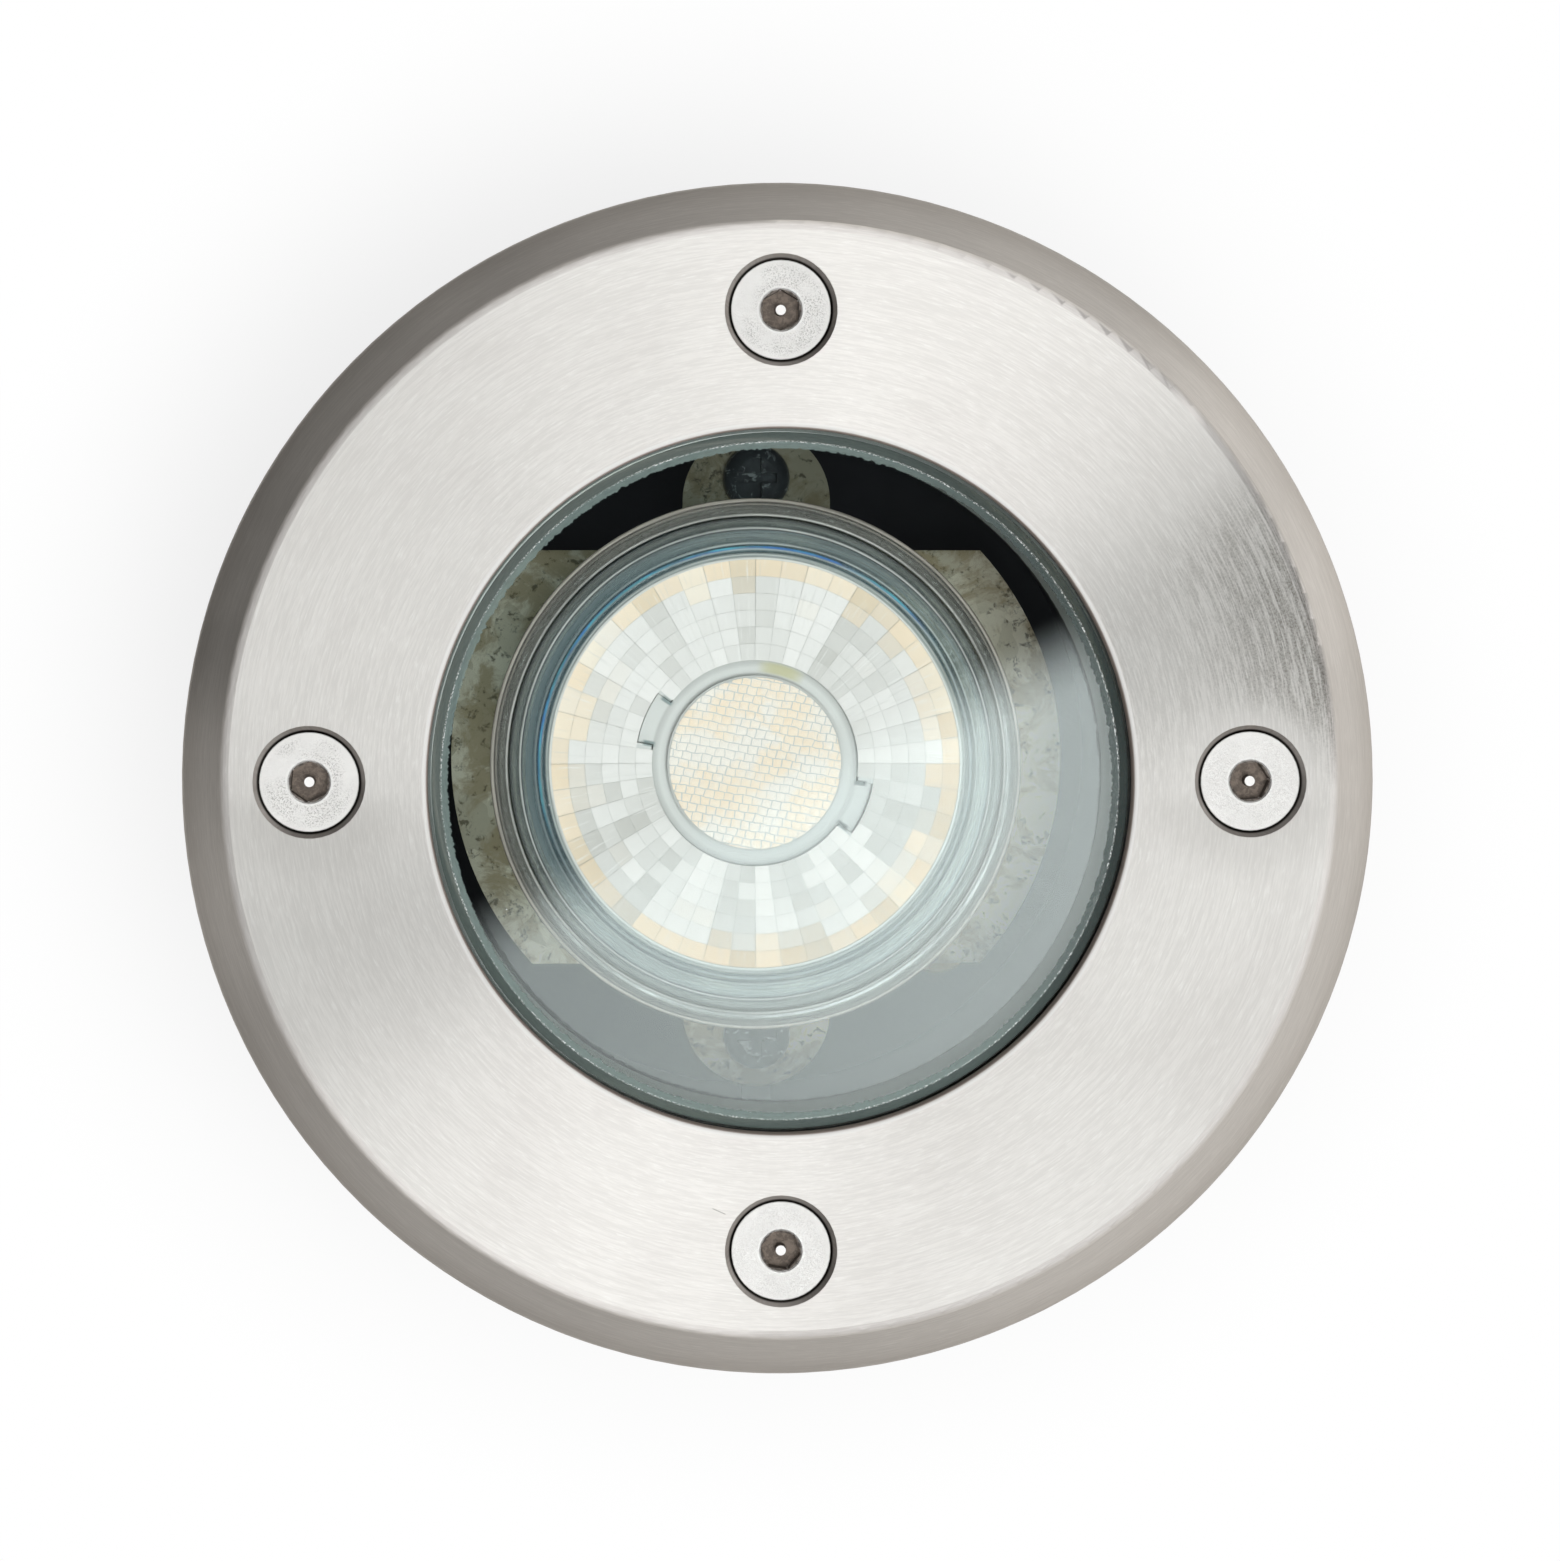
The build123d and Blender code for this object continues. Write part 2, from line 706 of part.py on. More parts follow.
# ---- lamp pins: headed pins, locked at rest under the narrow ends of the keyholes ----
with BuildPart() as lamp_pins:
    with BuildSketch(lamp_level(lamp_foot)):
        with PolarLocations(pin_spacing / 2, 2):
            Circle(pin_shank / 2)
    extrude(amount=-(pin_length - pin_head_height))
    with BuildSketch(lamp_level(pin_tip)):
        with PolarLocations(pin_spacing / 2, 2):
            Circle(pin_head / 2)
    extrude(amount=pin_head_height)
    chamfer(circles(lamp_pins.part, pin_head, pin_tip), pin_head_edge)
lamp_pins.part.label = "lamp_pins"

# ---- lamp base: foot block that flares into a round cup for the driver ----
foot_top = lamp_foot + foot_height
base_top = lamp_foot + base_height
base_bore = base_diameter - 2 * base_wall

with BuildPart() as lamp_base:
    with BuildSketch(lamp_section):
        with BuildLine():
            Polyline(
                (0, foot_top - base_wall),
                (foot_diameter / 2, foot_top - base_wall),
                (foot_diameter / 2, foot_top),
                (base_diameter / 2, foot_top + base_flare),
                (base_diameter / 2, base_top),
                (base_bore / 2, base_top),
                (base_bore / 2, foot_top + base_flare),
                (foot_diameter / 2 - base_wall, foot_top),
                (0, foot_top),
                close=True,
            )
        make_face()
    revolve(axis=lamp_axis)
    with BuildSketch(lamp_level(lamp_foot)):
        Circle(foot_diameter / 2)
        Rectangle(foot_diameter, foot_width, mode=Mode.INTERSECT)
    extrude(amount=foot_height - base_wall)
lamp_base.part.label = "lamp_base"

# ---- lamp glass: pressed glass reflector shell with a straight front rim ----
lamp_radius = lamp_diameter / 2
rim_bore = lamp_radius - shell_wall
rim_bottom = lamp_face - rim_height
shell_neck = base_diameter / 2
belly_r = (shell_neck + lamp_radius) / 2 + shell_belly
belly_z = (base_top + rim_bottom) / 2 - shell_belly

with BuildPart() as lamp_glass:
    with BuildSketch(lamp_section):
        with BuildLine():
            Line((shell_neck - shell_wall, base_top), (shell_neck, base_top))
            ThreePointArc((shell_neck, base_top), (belly_r, belly_z), (lamp_radius, rim_bottom))
            Polyline(
                (lamp_radius, rim_bottom),
                (lamp_radius, lamp_face),
                (rim_bore, lamp_face),
                (rim_bore, rim_bottom),
            )
            ThreePointArc(
                (rim_bore, rim_bottom), (belly_r - shell_wall, belly_z), (shell_neck - shell_wall, base_top)
            )
        make_face()
    revolve(axis=lamp_axis)
    fillet(circles(lamp_glass.part, lamp_diameter, lamp_face), rim_edge)
    fillet(circles(lamp_glass.part, 2 * rim_bore, lamp_face), rim_edge)
lamp_glass.part.label = "lamp_glass"

# ---- lamp lens: flange, raised bead and a dished ring of petals round a hub hole ----
lens_radius = rim_bore - lens_fit
lens_top = lamp_face - lens_flange_sink
bead_radius = lens_radius - bead_inset
petal_radius = lens_radius - petal_inset
petal_top = lens_top - petal_drop
hub_radius = hub_diameter / 2
hub_top = petal_top - petal_dip
hub_ring_top = hub_top - hub_ring_sink
hub_ring_radius = hub_radius - lens_fit

with BuildPart() as petal_flute:
    with BuildSketch(light_section):
        with BuildLine():
            Polyline(
                (hub_radius + flute_width, hub_top - flute_depth),
                (petal_radius, petal_top - flute_depth),
                (petal_radius, petal_top + flute_depth),
                (hub_radius + flute_width, hub_top + flute_depth),
                close=True,
            )
        make_face()
    extrude(amount=flute_width / 2, both=True)

with BuildPart() as lamp_lens:
    with BuildSketch(lamp_section):
        with BuildLine():
            Polyline(
                (hub_radius, hub_top - petal_thickness),
                (petal_radius, petal_top - petal_thickness),
                (petal_radius, lens_top - lens_flange_thickness),
                (lens_radius, lens_top - lens_flange_thickness),
                (lens_radius, lens_top),
                (bead_radius, lens_top),
                (bead_radius, lens_top + bead_height),
                (bead_radius - bead_width, lens_top + bead_height),
                (bead_radius - bead_width, lens_top),
                (petal_radius, lens_top),
                (petal_radius, petal_top),
                (hub_radius, hub_top),
                close=True,
            )
        make_face()
    revolve(axis=lamp_axis)
    with Locations(lamp_level(0)):
        with PolarLocations(0, petal_count):
            add(petal_flute.part, mode=Mode.SUBTRACT)
    # notches that take the centre lens's two tabs
    with BuildSketch(lamp_level(hub_ring_top - tab_thickness)):
        for turn in (0, 180):
            with BuildLine():
                CenterArc(
                    (0, 0), hub_radius + tab_length / 2, tab_angle + turn - tab_span / 2, tab_span
                )
            trace(line_width=tab_length + 2 * lens_fit)
    extrude(amount=petal_dip + hub_ring_sink + tab_thickness, mode=Mode.SUBTRACT)
lamp_lens.part.label = "lamp_lens"

# ---- centre lens: a flat disc in a lower ring, held by two flat tabs ----
centre_top = hub_top + centre_rise

with BuildPart() as lamp_center_lens:
    with BuildSketch(lamp_section):
        with BuildLine():
            Polyline(
                (0, centre_top - centre_height),
                (hub_ring_radius, centre_top - centre_height),
                (hub_ring_radius, hub_ring_top),
                (centre_diameter / 2, hub_ring_top),
                (centre_diameter / 2, centre_top),
                (0, centre_top),
                close=True,
            )
        make_face()
    revolve(axis=lamp_axis)
    with BuildSketch(lamp_level(hub_ring_top)):
        for turn in (0, 180):
            with BuildLine():
                CenterArc(
                    (0, 0),
                    hub_ring_radius + (tab_length - lens_fit) / 2,
                    tab_angle + turn - tab_span / 2 + lens_fit * 2,
                    tab_span - lens_fit * 4,
                )
            trace(line_width=tab_length + lens_fit)
    extrude(amount=-(tab_thickness - lens_fit))
lamp_center_lens.part.label = "lamp_center_lens"

# ---- light source: board with chips on an aluminium cup that plugs into the base ----
board_top = lamp_face - board_depth
board_bottom = board_top - board_thickness
board_radius = rim_bore - board_setback
plug_radius = base_bore / 2 - ring_fit

with BuildPart() as lamp_led_board:
    with BuildSketch(lamp_level(board_bottom)):
        Circle(board_radius)
    extrude(amount=board_thickness)
lamp_led_board.part.label = "lamp_led_board"

with BuildPart() as lamp_led_chips:
    with BuildSketch(lamp_level(board_top)):
        with PolarLocations(chip_ring_diameter / 2, chip_ring_count):
            Rectangle(chip_size, chip_size)
        with PolarLocations(chip_core_diameter / 2, chip_core_count):
            Rectangle(chip_size, chip_size)
    extrude(amount=chip_height)
lamp_led_chips.part.label = "lamp_led_chips"

with BuildPart() as lamp_heat_sink:
    with BuildSketch(lamp_section):
        with BuildLine():
            Polyline(
                (0, board_bottom - sink_wall),
                (board_radius - 2 * sink_wall, board_bottom - sink_wall),
                (plug_radius - sink_wall, base_top + sink_wall),
                (plug_radius - sink_wall, base_top - sink_plug),
                (plug_radius, base_top - sink_plug),
                (plug_radius, base_top + sink_wall),
                (board_radius - sink_wall / 2, board_bottom - sink_wall),
                (board_radius - sink_wall / 2, board_bottom),
                (0, board_bottom),
                close=True,
            )
        make_face()
    revolve(axis=lamp_axis)
lamp_heat_sink.part.label = "lamp_heat_sink"

# ---- driver: an upright board in the base, with its capacitor ----
base_slope = base_flare / ((base_diameter - foot_diameter) / 2)
driver_bottom = foot_top + base_slope * (driver_board_width / 2 + driver_gap - foot_diameter / 2 + base_wall)
capacitor_y = driver_board_thickness / 2 + contact_gap / 2 + capacitor_diameter / 2

with BuildPart() as lamp_driver_board:
    with BuildSketch(lamp_level(driver_bottom)):
        Rectangle(driver_board_width, driver_board_thickness)
    extrude(amount=driver_board_height)
lamp_driver_board.part.label = "lamp_driver_board"

with BuildPart() as lamp_driver_capacitor:
    with BuildSketch(level(driver_bottom + capacitor_rise, lamp_x, lamp_y + capacitor_y)):
        Circle(capacitor_diameter / 2)
    extrude(amount=capacitor_height)
lamp_driver_capacitor.part.label = "lamp_driver_capacitor"

# ---- terminal block: a pole for each core, with brass inserts and clamping screws ----
insert_z = block_bottom + insert_rise
block_section = Plane(origin=(block_x, 0, 0), x_dir=(0, 1, 0), z_dir=(1, 0, 0))

with BuildPart() as terminal_block:
    with BuildSketch(block_section):
        with Locations((0, block_bottom + block_base / 2)):
            Rectangle(block_width, block_base)
        with Locations((0, block_bottom + block_height / 2)):
            with GridLocations(pole_pitch, 0, pole_count, 1):
                Rectangle(pole_pitch - pole_web, block_height)
        with Locations((0, insert_z)):
            with GridLocations(pole_pitch, 0, pole_count, 1):
                Circle(insert_diameter / 2 + ring_fit, mode=Mode.SUBTRACT)
    extrude(amount=block_depth / 2, both=True)
    with Locations(level(block_bottom + block_height, block_x)):
        with GridLocations(terminal_screw_spacing, pole_pitch, 2, pole_count):
            Hole(terminal_well / 2, depth=block_height - insert_rise)
    with Locations(level(block_bottom + block_height, block_x)):
        with GridLocations(0, pole_pitch, 1, pole_count - 1):
            CounterBoreHole(
                radius=(block_screw_thread + bracket_hole_gap) / 2,
                counter_bore_radius=(block_screw_head + bracket_hole_gap) / 2,
                counter_bore_depth=block_height - block_base,
                depth=block_height,
            )
terminal_block.part.label = "terminal_block"

with BuildPart() as terminal_inserts:
    with BuildSketch(block_section):
        with Locations((0, insert_z)):
            with GridLocations(pole_pitch, 0, pole_count, 1):
                Circle(insert_diameter / 2)
                Circle(insert_bore / 2, mode=Mode.SUBTRACT)
    extrude(amount=insert_length / 2, both=True)
    with Locations(level(insert_z + insert_diameter / 2, block_x)):
        with GridLocations(terminal_screw_spacing, pole_pitch, 2, pole_count):
            Hole(tapped(terminal_thread), depth=insert_diameter / 2)
terminal_inserts.part.label = "terminal_inserts"

with BuildPart() as terminal_screws:
    with BuildSketch(level(insert_z + insert_bore / 2 - contact_gap, block_x)):
        with GridLocations(terminal_screw_spacing, pole_pitch, 2, pole_count):
            Circle(terminal_thread / 2)
    extrude(amount=terminal_screw_height)
terminal_screws.part.label = "terminal_screws"

with BuildPart() as terminal_block_screws:
    with BuildSketch(level(block_screw_tip + contact_gap, block_x)):
        with GridLocations(0, pole_pitch, 1, pole_count - 1):
            Circle(block_screw_thread / 2)
    extrude(amount=block_bottom + block_base - block_screw_tip - contact_gap)
    with BuildSketch(level(block_bottom + block_base, block_x)):
        with GridLocations(0, pole_pitch, 1, pole_count - 1):
            Circle(block_screw_head / 2)
    extrude(amount=block_screw_head_height)
terminal_block_screws.part.label = "terminal_block_screws"

# ---- earth screw on its boss ----
with BuildPart() as earth_screw:
    with BuildSketch(level(floor_top + earth_boss_height, earth_x, earth_y)):
        Circle(earth_head / 2)
    extrude(amount=earth_head_height)
    with BuildSketch(level(floor_top + earth_boss_height, earth_x, earth_y)):
        Circle(earth_thread / 2)
    extrude(amount=-(floor_top + earth_boss_height - earth_hole_bottom - contact_gap))
    with BuildSketch(level(floor_top + earth_boss_height + earth_head_height, earth_x, earth_y)):
        Rectangle(earth_head, cross_width)
    extrude(amount=-earth_head_height / 2, mode=Mode.SUBTRACT)
earth_screw.part.label = "earth_screw"

# ---- cable gland: body with clamping fingers, washer, locknut, seal and domed nut ----
gland_axis = Axis((gland_x, 0, 0), (0, 0, 1))
gland_section = Plane(origin=(gland_x, 0, 0), x_dir=(1, 0, 0), z_dir=(0, -1, 0))
washer_bottom = cable_space - gland_washer_thickness
hex_bottom = washer_bottom - gland_hex_height
locknut_top = floor_top + gland_locknut_height
seal_radius = cable_diameter / 2 + seal_wall
spigot_bore = 2 * (seal_radius + seal_fit)
spigot_diameter = spigot_bore + 2 * spigot_wall
spigot_bottom = hex_bottom - spigot_length

with BuildPart() as gland_body:
    with BuildSketch(gland_section):
        with BuildLine():
            Polyline(
                (gland_bore / 2, locknut_top + gland_thread_spare),
                (gland_thread / 2, locknut_top + gland_thread_spare),
                (gland_thread / 2, hex_bottom + gland_hex_height / 2),
                (spigot_diameter / 2, hex_bottom + gland_hex_height / 2),
                (spigot_diameter / 2, spigot_bottom),
                (spigot_bore / 2, spigot_bottom),
                (spigot_bore / 2, hex_bottom),
                (gland_bore / 2, hex_bottom),
                close=True,
            )
        make_face()
    revolve(axis=gland_axis)
    with BuildSketch(level(hex_bottom, gland_x)):
        RegularPolygon(gland_flats / 2, 6, major_radius=False)
        Circle(gland_bore / 2, mode=Mode.SUBTRACT)
    extrude(amount=gland_hex_height)
    with BuildSketch(level(spigot_bottom, gland_x)):
        with PolarLocations(spigot_bore / 2, finger_count):
            Rectangle(4 * spigot_wall, finger_slit)
    extrude(amount=finger_length, mode=Mode.SUBTRACT)
gland_body.part.label = "gland_body"

with BuildPart() as gland_washer:
    with BuildSketch(level(washer_bottom, gland_x)):
        Circle((gland_thread + gland_hole_gap) / 2 + gland_washer_width)
        Circle((gland_thread + gland_hole_gap) / 2, mode=Mode.SUBTRACT)
    extrude(amount=gland_washer_thickness)
gland_washer.part.label = "gland_washer"

with BuildPart() as gland_locknut:
    with BuildSketch(level(floor_top, gland_x)):
        RegularPolygon(gland_flats / 2, 6, major_radius=False)
        Circle(tapped(gland_thread), mode=Mode.SUBTRACT)
    extrude(amount=gland_locknut_height)
gland_locknut.part.label = "gland_locknut"

with BuildPart() as gland_seal:
    with BuildSketch(level(spigot_bottom, gland_x)):
        Circle(seal_radius)
        Circle(cable_diameter / 2, mode=Mode.SUBTRACT)
    extrude(amount=spigot_length)
gland_seal.part.label = "gland_seal"

nut_top = hex_bottom - nut_gap
nut_bottom = nut_top - nut_length
nut_hex_bottom = nut_top - nut_hex_length
nut_mouth = cable_diameter / 2 + nut_mouth_gap
nut_bore = spigot_diameter / 2 + ring_fit

with BuildPart() as gland_nut:
    with BuildSketch(level(nut_hex_bottom, gland_x)):
        RegularPolygon(gland_flats / 2, 6, major_radius=False)
    extrude(amount=nut_hex_length)
    with BuildSketch(gland_section):
        with BuildLine():
            Line((0, nut_bottom), (nut_mouth + nut_mouth_wall, nut_bottom))
            ThreePointArc(
                (nut_mouth + nut_mouth_wall, nut_bottom),
                (gland_flats / 2 - nut_dome, (nut_bottom + nut_hex_bottom) / 2),
                (gland_flats / 2 - nut_shoulder, nut_hex_bottom),
            )
            Polyline(
                (gland_flats / 2 - nut_shoulder, nut_hex_bottom),
                (0, nut_hex_bottom),
                (0, nut_bottom),
            )
        make_face()
    revolve(axis=gland_axis)
    with BuildSketch(gland_section):
        with BuildLine():
            Polyline(
                (0, nut_bottom - nut_gap),
                (nut_mouth, nut_bottom - nut_gap),
                (nut_mouth, spigot_bottom - nut_gap - (nut_bore - nut_mouth)),
                (nut_bore, spigot_bottom - nut_gap),
                (nut_bore, nut_top + nut_gap),
                (0, nut_top + nut_gap),
                close=True,
            )
        make_face()
    revolve(axis=gland_axis, mode=Mode.SUBTRACT)
gland_nut.part.label = "gland_nut"

# ---- one STEP file for each piece ----
os.makedirs("parts", exist_ok=True)
for piece in (
    mounting_sleeve, bezel, bezel_screws, cover_glass, glass_gasket_upper, glass_gasket_lower,
    flange_gasket, seat_ring, housing, lampholder_bracket, bracket_screws, lampholder_body,
    lampholder_base_plate, lampholder_contacts, lampholder_screws, lampholder_nuts, terminal_block,
    terminal_inserts, terminal_screws, terminal_block_screws, earth_screw, gland_body, gland_washer,
    gland_locknut, gland_seal, gland_nut, lamp_glass, lamp_lens, lamp_center_lens, lamp_led_board,
    lamp_led_chips, lamp_heat_sink, lamp_driver_board, lamp_driver_capacitor, lamp_base, lamp_pins,
):
    export_step(piece.part, f"parts/{piece.part.label}.step")
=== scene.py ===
import json
import math
import bpy
from mathutils import Matrix, Vector


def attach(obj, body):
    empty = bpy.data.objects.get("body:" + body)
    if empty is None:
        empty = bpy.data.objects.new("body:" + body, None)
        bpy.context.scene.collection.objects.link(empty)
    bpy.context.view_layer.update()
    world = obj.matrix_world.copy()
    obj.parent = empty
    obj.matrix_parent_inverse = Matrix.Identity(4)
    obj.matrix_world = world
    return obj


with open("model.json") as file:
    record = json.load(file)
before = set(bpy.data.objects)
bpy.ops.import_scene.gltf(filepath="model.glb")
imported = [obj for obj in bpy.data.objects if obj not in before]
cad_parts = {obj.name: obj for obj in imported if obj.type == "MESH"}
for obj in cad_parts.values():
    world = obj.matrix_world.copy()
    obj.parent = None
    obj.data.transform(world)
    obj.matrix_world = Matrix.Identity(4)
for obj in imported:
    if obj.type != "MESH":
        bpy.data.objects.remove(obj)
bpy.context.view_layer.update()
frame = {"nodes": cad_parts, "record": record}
nodes = frame["nodes"]
mm = 0.001
print("frame loaded:", len(nodes), "nodes")


class Signal:
    # one output of a node; sums and products with it add Math nodes to its tree
    def __init__(self, net, socket):
        self.net, self.socket = net, socket

    def __add__(self, other):
        return self.net.calc("ADD", self, other)

    def __sub__(self, other):
        return self.net.calc("SUBTRACT", self, other)

    def __rsub__(self, other):
        return self.net.calc("SUBTRACT", other, self)

    def __mul__(self, other):
        return self.net.calc("MULTIPLY", self, other)

    def __truediv__(self, other):
        return self.net.calc("DIVIDE", self, other)

    __radd__, __rmul__ = __add__, __mul__


class Outputs:
    # a node's outputs, by number or name
    def __init__(self, net, node):
        self.net, self.node = net, node

    def __getitem__(self, key):
        return Signal(self.net, self.node.outputs[key])


class Net:
    # adds nodes to one tree and joins them up
    def __init__(self, tree):
        self.tree = tree

    def put(self, kind, settings=None, feeds=None):
        # one node; a feed is a number, a colour or a signal to link from
        node = self.tree.nodes.new(kind)
        for name, value in (settings or {}).items():
            setattr(node, name, value)
        for key, value in (feeds or {}).items():
            socket = node.inputs[key]
            if isinstance(value, Signal):
                self.tree.links.new(value.socket, socket)
            else:
                socket.default_value = (*value, 1.0) if socket.type == "RGBA" and len(value) == 3 else value
        return Outputs(self, node)

    def give(self, results):
        # the outputs of a node group
        self.put("NodeGroupOutput", None, results)
        return self.tree

    def calc(self, operation, *values):
        return self.put("ShaderNodeMath", {"operation": operation}, dict(enumerate(values)))[0]

    def vector(self, operation, a, b=None, scale=None):
        feeds = {key: value for key, value in ((0, a), (1, b), ("Scale", scale)) if value is not None}
        made = self.put("ShaderNodeVectorMath", {"operation": operation}, feeds)
        return made["Value" if operation == "LENGTH" else "Vector"]

    def split(self, vector):
        made = self.put("ShaderNodeSeparateXYZ", None, {0: vector})
        return made[0], made[1], made[2]

    def join(self, x, y, z):
        return self.put("ShaderNodeCombineXYZ", None, {0: x, 1: y, 2: z})[0]

    def spread(self, value, low, high, toLow=0.0, toHigh=1.0, smooth=True):
        kind = "SMOOTHSTEP" if smooth else "LINEAR"
        return self.put("ShaderNodeMapRange", {"interpolation_type": kind},
                        dict(enumerate((value, low, high, toLow, toHigh))))[0]

    def band(self, value, centre, half, soft):
        # 1 within half of the centre, falling to 0 over soft
        return self.spread(self.calc("ABSOLUTE", value - centre), half + soft, half)

    def blend(self, factor, a, b, mode="MIX"):
        return self.put("ShaderNodeMix", {"data_type": "RGBA", "blend_type": mode}, {0: factor, 6: a, 7: b})[2]

    def ramp(self, factor, stops, interpolation="LINEAR"):
        made = self.put("ShaderNodeValToRGB", None, {0: factor})
        scale = made.node.color_ramp
        scale.interpolation = interpolation
        while len(scale.elements) < len(stops):
            scale.elements.new(0.5)
        for element, (place, colour) in zip(scale.elements, stops):
            element.position = place
            element.color = (*colour, 1.0)
        return made[0]

    def noise(self, vector, scale, detail=2.0, roughness=0.5, distortion=0.0, output="Fac"):
        return self.put("ShaderNodeTexNoise", None, {
            "Vector": vector, "Scale": scale, "Detail": detail, "Roughness": roughness,
            "Distortion": distortion})[output]

    def here(self):
        return self.put("ShaderNodeTexCoord")["Object"]

    def polar(self, centreX=0.0, centreY=0.0):
        # radius round an upright axis, the direction from it, and the height
        x, y, height = self.split(self.here())
        x, y = x - centreX, y - centreY
        radius = self.calc("SQRT", x * x + y * y)
        safe = self.calc("MAXIMUM", radius, 1e-5)
        return radius, x / safe, y / safe, height

    def ringNoise(self, place, pitch, stretch, detail=3.0):
        # noise drawn out along circles: pitch is changes per metre outwards, stretch those round the circle
        radius, turnX, turnY, height = place
        where = self.join(turnX * stretch, turnY * stretch, (radius - height) * pitch)
        return self.noise(where, 1.0, detail, 0.6)

    def facing(self, place, degrees):
        # 1 in this direction from the axis, -1 opposite; degrees are counted from +X towards +Y
        turn = math.radians(degrees)
        return place[1] * math.cos(turn) + place[2] * math.sin(turn)

    def group(self, tree, feeds=None):
        return self.put("ShaderNodeGroup", {"node_tree": tree}, feeds)

    def bump(self, height, depth):
        return self.put("ShaderNodeBump", None, {"Strength": 1.0, "Distance": depth, "Height": height})[0]

    def surface(self, feeds):
        return self.put("ShaderNodeBsdfPrincipled", None, feeds)[0]

    def mixShaders(self, factor, a, b):
        return self.put("ShaderNodeMixShader", None, {0: factor, 1: a, 2: b})[0]


def newTree(name, kind, inputs, outputs):
    tree = bpy.data.node_groups.new(name, kind)
    for label, socketType, value in inputs:
        socket = tree.interface.new_socket(label, in_out="INPUT", socket_type=socketType)
        if value is not None:
            socket.default_value = value
    for label, socketType in outputs:
        tree.interface.new_socket(label, in_out="OUTPUT", socket_type=socketType)
    net = Net(tree)
    return net, net.put("NodeGroupInput")


def effectGroup(name, inputs, outputs):
    # an effect that several finishes share; it takes numbers and gives numbers or a colour
    return newTree(name, "ShaderNodeTree", [(label, "NodeSocketFloat", value) for label, value in inputs.items()], [
        (label, "NodeSocketColor" if label == "Colour" else "NodeSocketFloat") for label in outputs])


def shade(colour, by):
    return [c * by for c in colour]


def makeTurnedLines():
    # circular brushing: long fine lines, short hairlines over them and faint slow bands
    net, given = effectGroup("turnedLines", {
        "Centre X": 0.0, "Centre Y": 0.0, "Fineness": 5000.0, "Streak": 8.0, "Hair Streak": 30.0},
        ["Height", "Tone", "Hair"])
    place = net.polar(given["Centre X"], given["Centre Y"])
    longLines = net.ringNoise(place, given["Fineness"], given["Streak"])
    hair = net.ringNoise(place, given["Fineness"] * 1.3, given["Hair Streak"], 2.0)
    slow = net.ringNoise(place, 600.0, 1.6, 2.0)
    return net.give({
        "Height": longLines * 0.55 + hair * 0.45,
        "Tone": longLines * 0.50 + hair * 0.36 + slow * 0.14,
        "Hair": net.spread(hair, 0.60, 0.70)})


def makeHandling():
    # soft smudges and a few fine scuffs, for anything that has been handled
    net, given = effectGroup("handling", {"Size": 90.0, "Scuffs": 0.5}, ["Smudge", "Scuff"])
    here = net.here()
    lines = net.put("ShaderNodeMapping", {"vector_type": "POINT"}, {
        "Vector": here, "Rotation": (0.3, 0.2, 0.7), "Scale": (1.0, 26.0, 9.0)})[0]
    scratch = net.spread(net.noise(lines, 130.0, 2.0, 0.5, 0.3), 0.70, 0.78)
    return net.give({
        "Smudge": net.spread(net.noise(here, given["Size"], 4.0, 0.55, 0.6), 0.38, 0.68),
        "Scuff": scratch * given["Scuffs"]})


def makeMouldGrain():
    # the fine leathery grain of a moulded or powder-coated surface
    net, given = effectGroup("mouldGrain", {"Size": 2600.0, "Mottle": 120.0}, ["Height", "Tone"])
    here = net.here()
    bumps = net.put("ShaderNodeTexVoronoi", {"feature": "SMOOTH_F1"}, {
        "Vector": here, "Scale": given["Size"], "Smoothness": 0.6})["Distance"]
    fine = net.noise(here, given["Size"] * 2.1, 2.0)
    return net.give({
        "Height": bumps * 0.7 + fine * 0.3,
        "Tone": net.spread(net.noise(here, given["Mottle"], 5.0, 0.6), 0.3, 0.7)})


def makeScrewWells():
    # distance from the nearest of the bezel's four screw axes, depth below the bezel's top, and place front to back
    net, given = effectGroup("screwWells", {"Circle": 43.1 * mm, "Top": 140.0 * mm},
                             ["Distance", "Depth", "Aside"])
    placeX, placeY, height = net.split(net.here())
    x, y = net.calc("ABSOLUTE", placeX), net.calc("ABSOLUTE", placeY)
    along, across = net.calc("MAXIMUM", x, y) - given["Circle"], net.calc("MINIMUM", x, y)
    return net.give({
        "Distance": net.calc("SQRT", along * along + across * across),
        "Depth": given["Top"] - height, "Aside": placeY})


lampCentre = (-1.9 * mm, 1.2 * mm)
# the edge of the window's reflection on the lamp: the slopes across it, and where it starts and is full
mirrorEdge = {"slopeX": 0.841, "slopeY": -1.737, "start": -6.5 * mm, "full": 13.5 * mm}


def underReflection(net):
    # the window's reflection lies over one side of the lamp, and the optics there face the dark
    x, y, height = net.split(net.here())
    side = x * mirrorEdge["slopeX"] + y * mirrorEdge["slopeY"]
    return net.spread(side, mirrorEdge["start"], mirrorEdge["full"])


